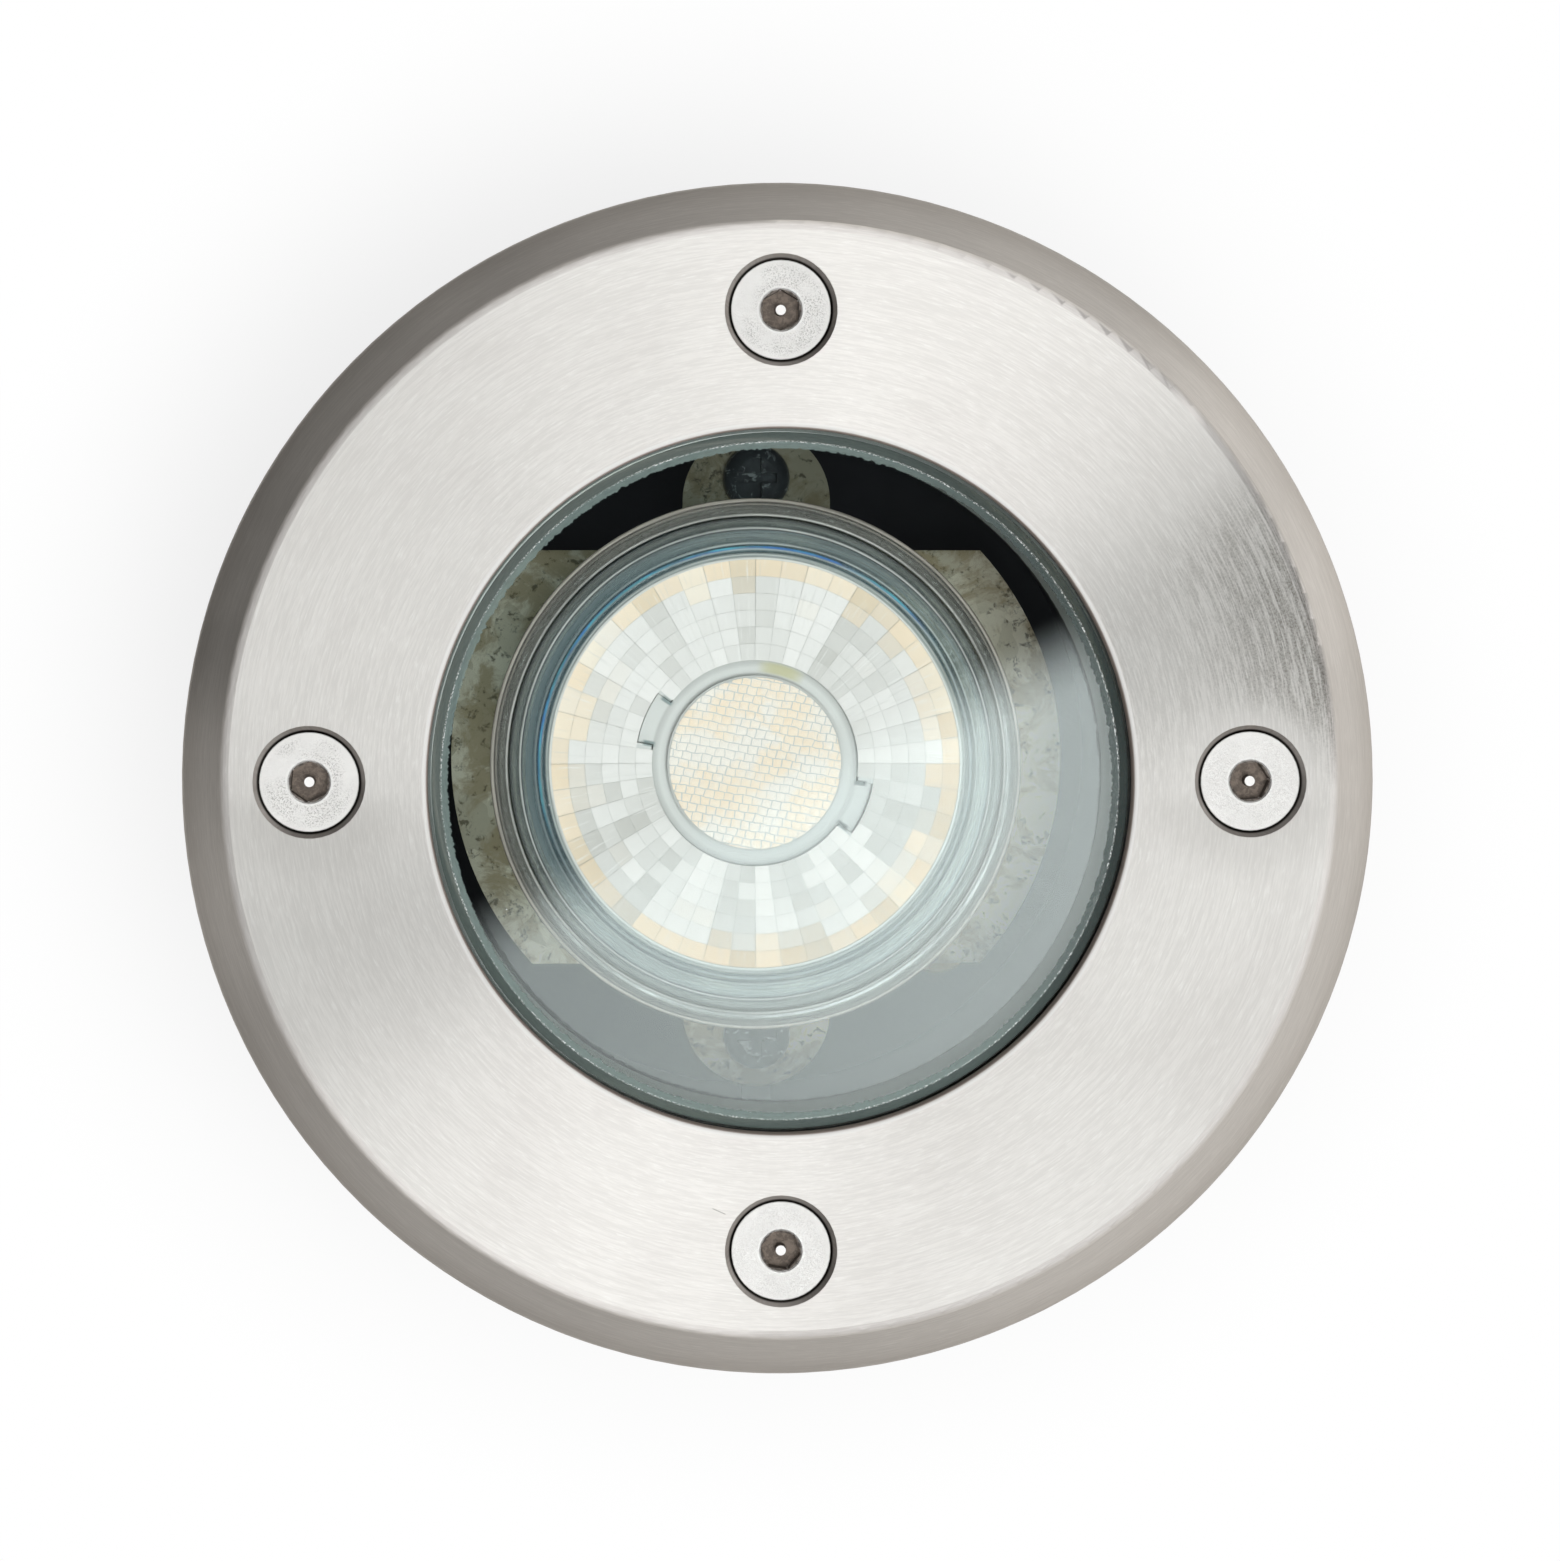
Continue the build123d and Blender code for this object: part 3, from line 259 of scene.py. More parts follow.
# rings in the lamp's rim: radius in mm, colour, how much they hide the clear glass, and height; the colours are
# painted highlights and painted reflections over the clear glass, the heights small moulded steps
paintedRimRings = [
    (19.20, (0.80, 0.83, 0.79), 0.85, 0.5), (19.38, (0.86, 0.87, 0.83), 0.90, 0.8),
    (19.54, (0.28, 0.33, 0.33), 0.70, 0.3), (19.70, (0.60, 0.65, 0.63), 0.68, 0.6),
    (19.88, (0.07, 0.11, 0.12), 0.80, 0.1), (20.06, (0.10, 0.15, 0.16), 0.70, 0.1),
    (20.24, (0.56, 0.65, 0.66), 0.62, 0.6), (20.46, (0.07, 0.12, 0.14), 0.66, 0.1),
    (20.62, (0.05, 0.09, 0.10), 0.72, 0.1), (20.74, (0.62, 0.69, 0.68), 0.68, 0.9),
    (20.92, (0.20, 0.27, 0.28), 0.48, 0.5), (21.40, (0.36, 0.44, 0.44), 0.50, 0.5),
    (21.92, (0.26, 0.33, 0.34), 0.50, 0.5), (22.05, (0.03, 0.04, 0.045), 0.88, 0.0),
    (22.18, (0.88, 0.90, 0.88), 0.88, 1.0), (22.34, (0.08, 0.10, 0.10), 0.74, 0.2),
    (22.72, (0.27, 0.31, 0.29), 0.52, 0.5), (23.08, (0.07, 0.08, 0.08), 0.74, 0.1),
    (23.24, (0.03, 0.033, 0.033), 0.90, 0.0), (23.40, (0.86, 0.87, 0.83), 0.88, 1.0),
    (23.58, (0.14, 0.145, 0.13), 0.66, 0.4), (24.00, (0.24, 0.25, 0.22), 0.52, 0.5),
    (24.26, (0.10, 0.10, 0.09), 0.72, 0.3), (24.40, (0.34, 0.33, 0.29), 0.60, 0.6),
    (24.58, (0.08, 0.075, 0.065), 0.78, 0.2), (24.74, (0.66, 0.62, 0.56), 0.90, 0.9),
    (24.92, (0.52, 0.47, 0.41), 0.85, 0.8), (25.05, (0.10, 0.11, 0.10), 0.80, 0.3),
]
rimLines = {
    "blueRadius": 20.38, "blues": ((0.07, 0.20, 0.50), (0.12, 0.46, 0.56)),
    "darkRadius": 20.72, "darkTurn": 168.0, "dark": (0.03, 0.06, 0.075),
    # painted highlight: the radius and colour of the rim's bright line are on the next line
    "frostedRadius": 23.74, "frosted": (0.90, 0.97, 0.97), "dim": (0.72, 0.74, 0.75),
}


def makeLampRings():
    net, given = effectGroup("lampRings", {
        "Centre X": lampCentre[0], "Centre Y": lampCentre[1], "Wander": 0.10 * mm}, ["Colour", "Cover", "Height"])
    place = net.polar(given["Centre X"], given["Centre Y"])
    radius, turnX, turnY, height = place
    radius = radius + (net.ringNoise(place, 900.0, 2.2, 2.0) - 0.5) * given["Wander"]
    first, last = paintedRimRings[0][0], paintedRimRings[-1][0]
    share = net.spread(radius, first * mm, last * mm, smooth=False)

    def along(pick):
        return net.ramp(share, [((ring[0] - first) / (last - first), pick(ring)) for ring in paintedRimRings])

    colour = along(lambda ring: ring[1])
    cover = along(lambda ring: (ring[2],) * 3) * net.spread(
        net.ringNoise(place, 7000.0, 2.6), 0.30, 0.66, 0.62, 1.08)
    cover = cover * net.spread(height, 121.2 * mm, 121.7 * mm)
    # a blue line in the rim, on the side that faces away from the window's reflection
    blue = net.band(radius, rimLines["blueRadius"] * mm, 0.04 * mm, 0.16 * mm)
    blue = blue * net.spread(turnY * 0.90 - turnX * 0.42, 0.02, 0.45)
    blue = blue * net.spread(net.ringNoise(place, 500.0, 4.4, 2.0), 0.36, 0.58, 0.35, 1.0)
    hue = net.blend(net.spread(net.ringNoise(place, 2600.0, 3.4), 0.42, 0.60), *rimLines["blues"])
    # painted shade: the inner rings are dark on the left, and all are dimmer under the reflection
    shady = net.spread(net.facing(place, rimLines["darkTurn"]), 0.25, 0.92) * net.band(
        radius, rimLines["darkRadius"] * mm, 0.85 * mm, 0.25 * mm)
    colour = net.blend(shady * 0.66, colour, rimLines["dark"])
    cover = net.calc("MAXIMUM", cover, shady * 0.72)
    colour = net.blend(underReflection(net), colour, rimLines["dim"], "MULTIPLY")
    # a painted highlight line in the rim, clearest at the front and right
    frosted = net.band(radius, rimLines["frostedRadius"] * mm, 0.07 * mm, 0.16 * mm)
    frosted = frosted * net.spread(turnX * 0.45 - turnY * 0.89, -0.15, 0.55, 0.0, 0.75)
    frosted = frosted * net.spread(net.ringNoise(place, 900.0, 3.2), 0.34, 0.60, 0.45, 1.0)
    colour = net.blend(frosted, colour, rimLines["frosted"])
    cover = net.calc("MAXIMUM", cover, frosted)
    return net.give({
        "Colour": net.blend(blue, colour, hue),
        "Cover": net.calc("MINIMUM", net.calc("MAXIMUM", cover, blue * 0.9), 1.0),
        "Height": along(lambda ring: (ring[3],) * 3)})


turnedLines = makeTurnedLines()
screwWells = makeScrewWells()
lampRings = makeLampRings()
handling = makeHandling()
mouldGrain = makeMouldGrain()
print("shared effects made")


def newFinish(name):
    material = bpy.data.materials.new(name)
    material.use_nodes = True
    material.node_tree.nodes.clear()
    net = Net(material.node_tree)
    net.material = material
    return net


def endWith(net, shader):
    net.put("ShaderNodeOutputMaterial", None, {0: shader})
    return net.material


def solidFinish(name, colour, roughness, metallic=0.0, grain=2600.0, grainDepth=0.01, vary=0.12, coat=0.0):
    # a moulded, painted or plain metal surface: grain, mottled tone, smudges and scuffs
    net = newFinish(name)
    skin = net.group(mouldGrain, {"Size": grain, "Mottle": 120.0})
    touched = net.group(handling, {"Size": 72.0, "Scuffs": 0.5})
    tone = net.blend(skin["Tone"], shade(colour, 1 - vary), [min(1.0, c * (1 + vary)) for c in colour])
    tone = net.blend(touched["Scuff"] * 0.35, tone, [min(1.0, c * 1.5 + 0.02) for c in colour])
    return endWith(net, net.surface({
        "Base Color": tone, "Roughness": roughness - 0.05 + touched["Smudge"] * 0.10, "Metallic": metallic,
        "Coat Weight": coat, "Coat Roughness": 0.12, "Normal": net.bump(skin["Height"], grainDepth * mm)}))


# radii, places and the line's depth are in mm, turns in degrees
stainless = {
    "colour": (0.808, 0.775, 0.745), "streakDark": (0.737, 0.705, 0.676), "hair": (0.92, 0.905, 0.88),
    "roughness": 0.33, "anisotropy": 0.93, "lineDepth": 0.0030,
    "bevel": (0.82, 0.80, 0.765), "bevelRadius": 50.95, "bevelEdge": (0.86, 0.85, 0.84),
    # painted shade: the countersink, gap and side-screw tones on the next line
    "sink": (0.34, 0.31, 0.285), "grime": (0.045, 0.040, 0.036), "rubbed": (0.42, 0.40, 0.375),
    # painted dark reflection: the right-side wedge's turn and tone on the next line
    "dullTurn": 16.0, "dull": (0.27, 0.250, 0.225),
    "scratchPlace": (-5.7, -39.4), "scratchTurn": -24.0, "scratch": (0.22, 0.20, 0.185),
    # painted highlight on the window's lip and painted shade on its arris, on the next line
    "lip": (0.80, 0.785, 0.76), "lipRadius": 32.64, "arris": (0.34, 0.275, 0.24), "arrisRadius": 32.46,
}


def makeStainless():
    net = newFinish("circularBrushedStainless")
    lines = net.group(turnedLines)
    touched = net.group(handling, {"Size": 55.0, "Scuffs": 0.2})
    place = net.polar()
    radius = place[0]
    tone = net.blend(net.spread(lines["Tone"], 0.40, 0.60), stainless["streakDark"], stainless["colour"])
    tone = net.blend(lines["Hair"] * 0.30, tone, stainless["hair"])
    slope = net.spread(radius, (stainless["bevelRadius"] - 0.2) * mm, (stainless["bevelRadius"] + 0.4) * mm)
    tone = net.blend(slope, tone, stainless["bevel"], "MULTIPLY")
    tone = net.blend(net.spread(radius, 52.6 * mm, 55.0 * mm), tone, stainless["bevelEdge"], "MULTIPLY")
    # painted shade in the countersinks, darkest in the gap round each head, and a patch of painted shade beside and
    # below the two side screws
    wells = net.group(screwWells)
    away, depth, aside = wells["Distance"], wells["Depth"], wells["Aside"]
    sunk = net.spread(away, 5.20 * mm, 5.08 * mm) * net.spread(depth, 0.004 * mm, 0.05 * mm)
    deep = net.spread(away, 4.86 * mm, 4.70 * mm) * net.spread(depth, 0.06 * mm, 0.30 * mm)
    rubbed = net.spread(away, 11.0 * mm, 5.4 * mm) * (
        net.spread(aside, -0.5 * mm, -3.0 * mm) * net.spread(aside, -12.0 * mm, -7.0 * mm))
    tone = net.blend(rubbed * 0.22, tone, stainless["rubbed"])
    tone = net.blend(sunk * net.spread(lines["Tone"], 0.40, 0.60, 0.80, 0.96), tone, stainless["sink"])
    tone = net.blend(deep, tone, stainless["grime"])
    # painted dark reflection: a wedge on the right side, stronger towards the bevel, broken up by a darker grain
    pits = net.spread(net.noise(net.here(), 4200.0, 4.0, 0.7), 0.42, 0.60, 0.55, 1.0)
    pits = pits * net.spread(lines["Tone"], 0.60, 0.42, 0.30, 1.0)
    dull = net.spread(net.facing(place, stainless["dullTurn"]), 0.940, 0.996) * net.spread(
        radius, 36.0 * mm, 50.5 * mm, 0.16)
    dull = dull * (1.0 - slope) * (pits * net.spread(away, 5.0 * mm, 9.5 * mm))
    tone = net.blend(dull * 0.95, tone, stainless["dull"])
    # one short scratch across the grain
    scratchX, scratchY = stainless["scratchPlace"]
    nick = net.put("ShaderNodeMapping", {"vector_type": "TEXTURE"}, {
        "Vector": net.here(), "Location": (scratchX * mm, scratchY * mm, 0.14),
        "Rotation": (0.0, 0.0, math.radians(stainless["scratchTurn"])), "Scale": (0.8 * mm, 0.07 * mm, 1.0)})[0]
    nickX, nickY, nickZ = net.split(nick)
    scratched = net.band(nickX, 0.0, 0.6, 0.4) * net.band(nickY, 0.0, 0.4, 0.6)
    tone = net.blend(scratched * 0.6, tone, stainless["scratch"])
    # the window's turned edge: a painted highlight, pale and matt, where it rounds over, and painted shade, brown,
    # inside it
    lip = net.band(radius, stainless["lipRadius"] * mm, 0.14 * mm, 0.10 * mm)
    tone = net.blend(lip, tone, stainless["lip"])
    inner = net.spread(radius, (stainless["arrisRadius"] + 0.06) * mm, (stainless["arrisRadius"] - 0.10) * mm)
    tone = net.blend(inner, tone, stainless["arris"])
    return endWith(net, net.surface({
        "Base Color": tone, "Metallic": 1.0 - net.calc("MAXIMUM", inner, lip) * 0.70,
        "Roughness": stainless["roughness"] + touched["Smudge"] * 0.03 + inner * 0.16,
        "Anisotropic": stainless["anisotropy"], "Anisotropic Rotation": 0.25,
        "Tangent": net.put("ShaderNodeTangent", {"direction_type": "RADIAL", "axis": "Z"})[0],
        "Normal": net.bump(lines["Height"], stainless["lineDepth"] * mm)}))


def makeTurnedSteel(name, colour, roughness):
    # small turned or rolled metal parts: flat, finely mottled
    net = newFinish(name)
    skin = net.group(mouldGrain, {"Size": 5200.0, "Mottle": 420.0})
    touched = net.group(handling, {"Size": 260.0, "Scuffs": 0.8})
    cloudy = net.spread(net.noise(net.here(), 620.0, 5.0, 0.65, 0.4), 0.32, 0.70)
    tone = net.blend(cloudy, shade(colour, 0.80), colour)
    tone = net.blend(touched["Scuff"] * 0.4, tone, shade(colour, 0.55))
    return endWith(net, net.surface({
        "Base Color": tone, "Metallic": 1.0, "Roughness": roughness + skin["Tone"] * 0.10,
        "Normal": net.bump(skin["Height"], 0.006 * mm)}))


# the back of the canister is in shadow: where the shadow starts and is full, and its tones
backShadow = {
    "screwStart": 20.0 * mm, "sheetStart": 20.5 * mm, "full": 24.0 * mm,
    "screwTone": (0.45, 0.47, 0.48), "sheetTone": (0.42, 0.42, 0.40),
}


def makeGlintedBlackSteel(name, dark, glintTone):
    # blackened steel with painted highlight glints in random spots
    net = newFinish(name)
    here = net.here()
    skin = net.group(mouldGrain, {"Size": 3200.0, "Mottle": 300.0})
    glintSpots = net.spread(net.noise(here, 620.0, 4.0, 0.65, 0.8), 0.58, 0.66)
    tone = net.blend(skin["Tone"], shade(dark, 0.6), shade(dark, 1.5))
    tone = net.blend(glintSpots * 0.8, tone, glintTone)
    shadow = net.spread(net.split(here)[1], backShadow["screwStart"], backShadow["full"])
    tone = net.blend(shadow, tone, backShadow["screwTone"], "MULTIPLY")
    return endWith(net, net.surface({
        "Base Color": tone, "Metallic": 0.2, "Roughness": 0.34, "Normal": net.bump(skin["Height"], 0.010 * mm)}))


# radii are in mm; a Dark value is the share of its tone that the mottling's dark spots keep
socketScrew = {
    "head": (0.92, 0.905, 0.88), "roughness": 0.30, "headRadius": 4.55, "mouthRadius": 1.86, "pinRadius": 0.42,
    # the socket's mouth, floor and wall tones carry painted shade and dirt, and the edge tone is painted shade
    "mouth": (0.27, 0.235, 0.205), "floor": (0.25, 0.205, 0.17), "wall": (0.10, 0.082, 0.070),
    "mouthDark": 0.35, "floorDark": 0.6, "wallDark": 0.4,
    "grain": (0.26, 0.245, 0.225), "rim": (0.97, 0.96, 0.94), "edge": (0.09, 0.08, 0.07), "pin": (1.0, 0.99, 0.97),
}


def makeSocketScrew():
    # flat fine-grained heads; the hexagon socket is brown and dull, darkened with painted shade and dirt, and its pin
    # is as bright as the head
    net = newFinish("socketScrewSteel")
    here = net.here()
    wells = net.group(screwWells)
    away, depth = wells["Distance"], wells["Depth"]
    cloudy = net.spread(net.noise(here, 420.0, 5.0, 0.62, 0.4), 0.30, 0.72)
    tone = net.blend(cloudy, shade(socketScrew["head"], 0.94), socketScrew["head"])
    # dark grain between the socket's bright rim and the head's edge, most of all on the back and left screws
    grain = net.spread(net.noise(here, 6800.0, 3.0, 0.75), 0.46, 0.66)
    x, y, height = net.split(here)
    grained = net.band(away, 3.05 * mm, 0.60 * mm, 0.80 * mm) * net.spread(net.noise(here, 260.0), 0.38, 0.56)
    grained = grained * net.spread(y - x, -20.0 * mm, 20.0 * mm, 0.25, 1.0)
    tone = net.blend(grain * grained * 0.65, tone, socketScrew["grain"])
    tone = net.blend(net.band(away, 2.02 * mm, 0.10 * mm, 0.14 * mm) * 0.5, tone, socketScrew["rim"])
    # painted shade: the head's outer edge darkens where it meets the countersink
    edge = net.spread(away, (socketScrew["headRadius"] - 0.13) * mm, (socketScrew["headRadius"] + 0.02) * mm)
    tone = net.blend(edge * 0.6, tone, socketScrew["edge"])
    # the socket: its mouth, wall and floor by depth, with a ragged edge; their dark tones are painted shade and dirt,
    # darkest on the wall
    ragged = away + net.noise(here, 1700.0, 3.0, 0.65) * (0.22 * mm)
    mouthRadius, pinRadius = socketScrew["mouthRadius"], socketScrew["pinRadius"]
    mouthed = net.spread(ragged, (mouthRadius + 0.16) * mm, (mouthRadius + 0.08) * mm)
    mottled = net.spread(net.noise(here, 2000.0, 4.0, 0.68, 0.4), 0.40, 0.60)
    mouth, wall, floor = (net.blend(mottled, shade(socketScrew[part], socketScrew[part + "Dark"]), socketScrew[part])
                          for part in ("mouth", "wall", "floor"))
    socket = net.blend(net.spread(depth, 0.74 * mm, 0.82 * mm), mouth, wall)
    socket = net.blend(net.spread(depth, 2.60 * mm, 2.78 * mm), socket, floor)
    pin = net.spread(away, (pinRadius + 0.06) * mm, (pinRadius + 0.02) * mm) * net.spread(
        depth, 1.30 * mm, 0.80 * mm)
    inside, pinTop = mouthed * (1.0 - pin), pin * mouthed
    tone = net.blend(pinTop, tone, socketScrew["pin"])
    return endWith(net, net.surface({
        "Base Color": net.blend(inside, tone, socket),
        "Metallic": 1.0 - net.calc("MAXIMUM", inside, pinTop) * 0.80,
        "Roughness": socketScrew["roughness"] + inside * 0.15,
        "Normal": net.bump(mottled + grain, 0.008 * mm)}))


def makeZinc(name, light, dark, blotch):
    # hot-dip galvanised sheet: spangle crystals, each with its own tone, and dull tan patches
    net = newFinish(name)
    here = net.here()
    bent = net.vector("ADD", here, net.vector("SCALE", net.noise(here, 300.0, output="Color"), scale=0.0016))
    cells = net.put("ShaderNodeTexVoronoi", {"feature": "F1"}, {"Vector": bent, "Scale": 300.0})["Color"]
    crystal = net.put("ShaderNodeSeparateColor", None, {0: cells})[0]
    patches = net.spread(net.noise(here, 150.0, 6.0, 0.72, 0.6), 0.44, 0.58)
    specks = net.noise(here, 900.0, 5.0, 0.70, 0.4)
    tone = net.blend(crystal, dark, light)
    tone = net.blend(patches * 0.85, tone, blotch)
    tone = net.blend(net.spread(specks, 0.54, 0.66, 0.0, 0.85), tone, shade(blotch, 0.30))
    shadow = net.spread(net.split(here)[1], backShadow["sheetStart"], backShadow["full"])
    tone = net.blend(shadow, tone, backShadow["sheetTone"], "MULTIPLY")
    return endWith(net, net.surface({
        "Base Color": tone, "Metallic": 0.12, "Roughness": 0.42 + crystal * 0.22,
        "Normal": net.bump(crystal + specks, 0.02 * mm)}))


def letThrough(net, shader, lets):
    # lamps reach what is behind clear pieces, so shadows through them are thin
    through = net.put("ShaderNodeBsdfTransparent", None, {0: lets})[0]
    return net.mixShaders(net.put("ShaderNodeLightPath")["Is Shadow Ray"], shader, through)


# radii and heights are in mm, turns in degrees
windowGlass = {
    "colour": (0.955, 0.975, 0.965), "lets": (0.94, 0.955, 0.95), "ior": 1.50,
    "flatRadius": 31.15, "groundRadius": 30.45, "shoulder": 136.9, "dustHeight": 138.2,
    "ground": (0.185, 0.245, 0.230), "groundCover": 0.82, "shade": (0.055, 0.075, 0.072), "shadeTurn": 12.0,
    # painted highlight: the white of the dashes along the raised middle's edge
    "chip": (0.93, 0.96, 0.95),
}


def makeWindowGlass():
    # polished faces, a ground bevel round the raised middle with a dashed painted highlight along its edge, and dust
    net = newFinish("floatGlass")
    place = net.polar()
    radius, turnX, turnY, height = place
    raised = net.spread(height, windowGlass["shoulder"] * mm, (windowGlass["shoulder"] + 0.2) * mm)
    flat = windowGlass["flatRadius"] * mm
    rough = net.ringNoise(place, 5200.0, 40.0)
    ragged = net.ringNoise(place, 0.0, 60.0, 4.0) * (0.7 * mm)
    start = windowGlass["groundRadius"] * mm - 0.35 * mm + ragged
    bevel = net.spread(radius - start, 0.0, 0.10 * mm) * raised
    bevel = bevel * net.spread(rough, 0.25, 0.65, windowGlass["groundCover"] * 0.8, windowGlass["groundCover"])
    shaded = net.spread(net.facing(place, windowGlass["shadeTurn"]), 0.30, 0.95)
    groundTone = net.blend(shaded, windowGlass["ground"], windowGlass["shade"])
    groundTone = net.blend(net.spread(radius, flat, flat + 0.10 * mm, 0.0, 0.35), groundTone,
                           shade(windowGlass["ground"], 0.50))
    # painted highlight: broken white dashes along the edge of the raised middle
    edgeGlints = net.spread(net.ringNoise(place, 9000.0, 150.0, 2.0), 0.50, 0.60)
    edgeGlints = edgeGlints * net.spread(net.ringNoise(place, 300.0, 5.0, 2.0), 0.36, 0.60, 0.35, 1.0)
    sparkle = net.band(radius, flat, 0.05 * mm, 0.07 * mm) * raised * edgeGlints
    dust = net.put("ShaderNodeTexVoronoi", {"feature": "F1"}, {"Vector": net.here(), "Scale": 520.0})
    rare = net.put("ShaderNodeSeparateColor", None, {0: dust["Color"]})
    speck = net.calc("GREATER_THAN", rare[0], 0.93) * net.calc("LESS_THAN", dust["Distance"], rare[1] * 0.055)
    speck = speck * net.calc("GREATER_THAN", height, windowGlass["dustHeight"] * mm)
    clear = net.surface({
        "Base Color": windowGlass["colour"], "Roughness": 0.0, "IOR": windowGlass["ior"], "Transmission Weight": 1.0})
    ground = net.surface({
        "Base Color": groundTone, "Roughness": 0.60, "IOR": windowGlass["ior"], "Normal": net.bump(rough, 0.02 * mm)})
    edgeGlintWhite = net.put("ShaderNodeBsdfDiffuse", None, {0: windowGlass["chip"]})[0]
    marks = net.calc("MAXIMUM", sparkle * 0.9, speck * 0.55)
    glass = net.mixShaders(marks, net.mixShaders(bevel, clear, ground), edgeGlintWhite)
    return endWith(net, letThrough(net, glass, windowGlass["lets"]))


def rimShader(net, colour, ripple, ior):
    # clear moulded glass with the lamp's rings in it, coloured with painted highlights and reflections
    rings = net.group(lampRings)
    wavy = rings["Height"] * 0.8 + net.noise(net.here(), 420.0, 3.0, 0.55, 0.4)
    glass = net.surface({
        "Base Color": colour, "Roughness": 0.0, "IOR": ior, "Transmission Weight": 1.0,
        "Normal": net.bump(wavy, ripple * mm)})
    solid = net.surface({
        "Base Color": rings["Colour"], "Roughness": 0.22, "IOR": ior, "Specular IOR Level": 0.35,
        "Normal": net.bump(rings["Height"], 0.05 * mm)})
    return net.mixShaders(rings["Cover"], glass, solid)


lampGlass = {"colour": (0.90, 0.97, 0.96), "lets": (0.86, 0.92, 0.92), "ripple": 0.05, "ior": 1.50}  # ripple in mm


def makeLampGlass():
    net = newFinish("pressedLampGlass")
    rim = rimShader(net, lampGlass["colour"], lampGlass["ripple"], lampGlass["ior"])
    return endWith(net, letThrough(net, rim, lampGlass["lets"]))


# radii are in mm, turns in degrees
optic = {
    "milk": (0.86, 0.885, 0.865), "clear": (0.90, 0.95, 0.94), "lets": (0.88, 0.93, 0.92), "ior": 1.49,
    "specular": 0.25, "border": 19.30, "dim": (0.72, 0.71, 0.70), "ringDim": (0.60, 0.615, 0.615),
    # the groove ring round the centre lens: radius and tone; the darker tones are painted shade at the groove's walls
    "groove": [(7.95, 0.90), (8.16, 0.70), (8.36, 0.90), (8.60, 0.98), (9.05, 1.00), (9.40, 0.84), (9.70, 0.76),
               (9.95, 0.97)],
    # painted shadow in the slots beside the clip tabs: their turns, radius and tones
    "tabMarks": (144.6, 169.5, 349.3, 324.6), "markRadius": 10.20,
    "mark": (0.26, 0.33, 0.33), "markDim": (0.02, 0.035, 0.035),
    "stain": (0.60, 0.58, 0.30), "stainTurn": 74.0, "stainRadius": 9.1,
}


def makeOptic():
    # moulded lens: milky over the optics, water-clear outside the border radius, with moulded rings there that carry
    # painted highlights and reflections
    net = newFinish("mouldedOptic")
    place = net.polar(*lampCentre)
    radius = place[0]
    haze = net.noise(net.here(), 500.0, 4.0, 0.6)
    first, last = optic["groove"][0][0], optic["groove"][-1][0]
    groove = net.ramp(net.spread(radius, first * mm, last * mm, smooth=False),
                      [((r - first) / (last - first), (tone * 0.9,) * 3) for r, tone in optic["groove"]])
    milk = net.blend(haze, shade(optic["milk"], 0.96), optic["milk"])
    milk = net.blend(1.0, milk, groove, "MULTIPLY")
    mirrored = underReflection(net)
    milk = net.blend(mirrored, milk, optic["ringDim"], "MULTIPLY")
    # painted shadow in the slots beside the clip tabs
    marks = 0.0
    for degrees in optic["tabMarks"]:
        slotShadow = net.band(net.facing(place, degrees + 90.0), 0.0, 0.014, 0.020) * net.calc(
            "GREATER_THAN", net.facing(place, degrees), 0.0)
        marks = net.calc("MAXIMUM", marks, slotShadow)
    marks = marks * net.band(radius, optic["markRadius"] * mm, 0.36 * mm, 0.40 * mm)
    milk = net.blend(marks * 0.88, milk, net.blend(mirrored, optic["mark"], optic["markDim"]))
    # a yellow-green tint on the groove ring, towards 74 degrees
    stain = net.spread(net.facing(place, optic["stainTurn"]), 0.962, 1.0) * net.band(
        radius, optic["stainRadius"] * mm, 0.3 * mm, 0.4 * mm)
    milk = net.blend(stain * 0.7, milk, optic["stain"])
    body = net.surface({
        "Base Color": milk, "Roughness": 0.24, "IOR": optic["ior"], "Specular IOR Level": optic["specular"],
        "Normal": net.bump(haze, 0.02 * mm)})
    flange = letThrough(net, rimShader(net, optic["clear"], 0.02, optic["ior"]), optic["lets"])
    outer = net.spread(radius, optic["border"] * mm, (optic["border"] + 0.05) * mm)
    return endWith(net, net.mixShaders(outer, body, flange))


seatAluminium = {"light": (0.66, 0.72, 0.70), "dark": (0.56, 0.61, 0.59), "dirt": (0.02, 0.022, 0.022),
                 "dirtHeight": 113.25 * mm, "dirtWaver": 1.5 * mm}


def makeSeatAluminium():
    # blasted aluminium, nearly black below a ragged line along its lower edge
    net = newFinish("blastedAluminium")
    radius, turnX, turnY, height = net.polar()
    skin = net.group(mouldGrain, {"Size": 3400.0, "Mottle": 160.0})
    tone = net.blend(skin["Tone"], seatAluminium["dark"], seatAluminium["light"])
    ragged = net.noise(net.join(turnX * 46.0, turnY * 46.0, 0.0), 1.0, 4.0, 0.7)
    line = seatAluminium["dirtHeight"] + ragged * seatAluminium["dirtWaver"]
    below = net.spread(height - line, 0.15 * mm, -0.10 * mm)
    tone = net.blend(below * 0.92, tone, seatAluminium["dirt"])
    return endWith(net, net.surface({
        "Base Color": tone, "Roughness": 0.60, "Normal": net.bump(skin["Height"], 0.012 * mm)}))


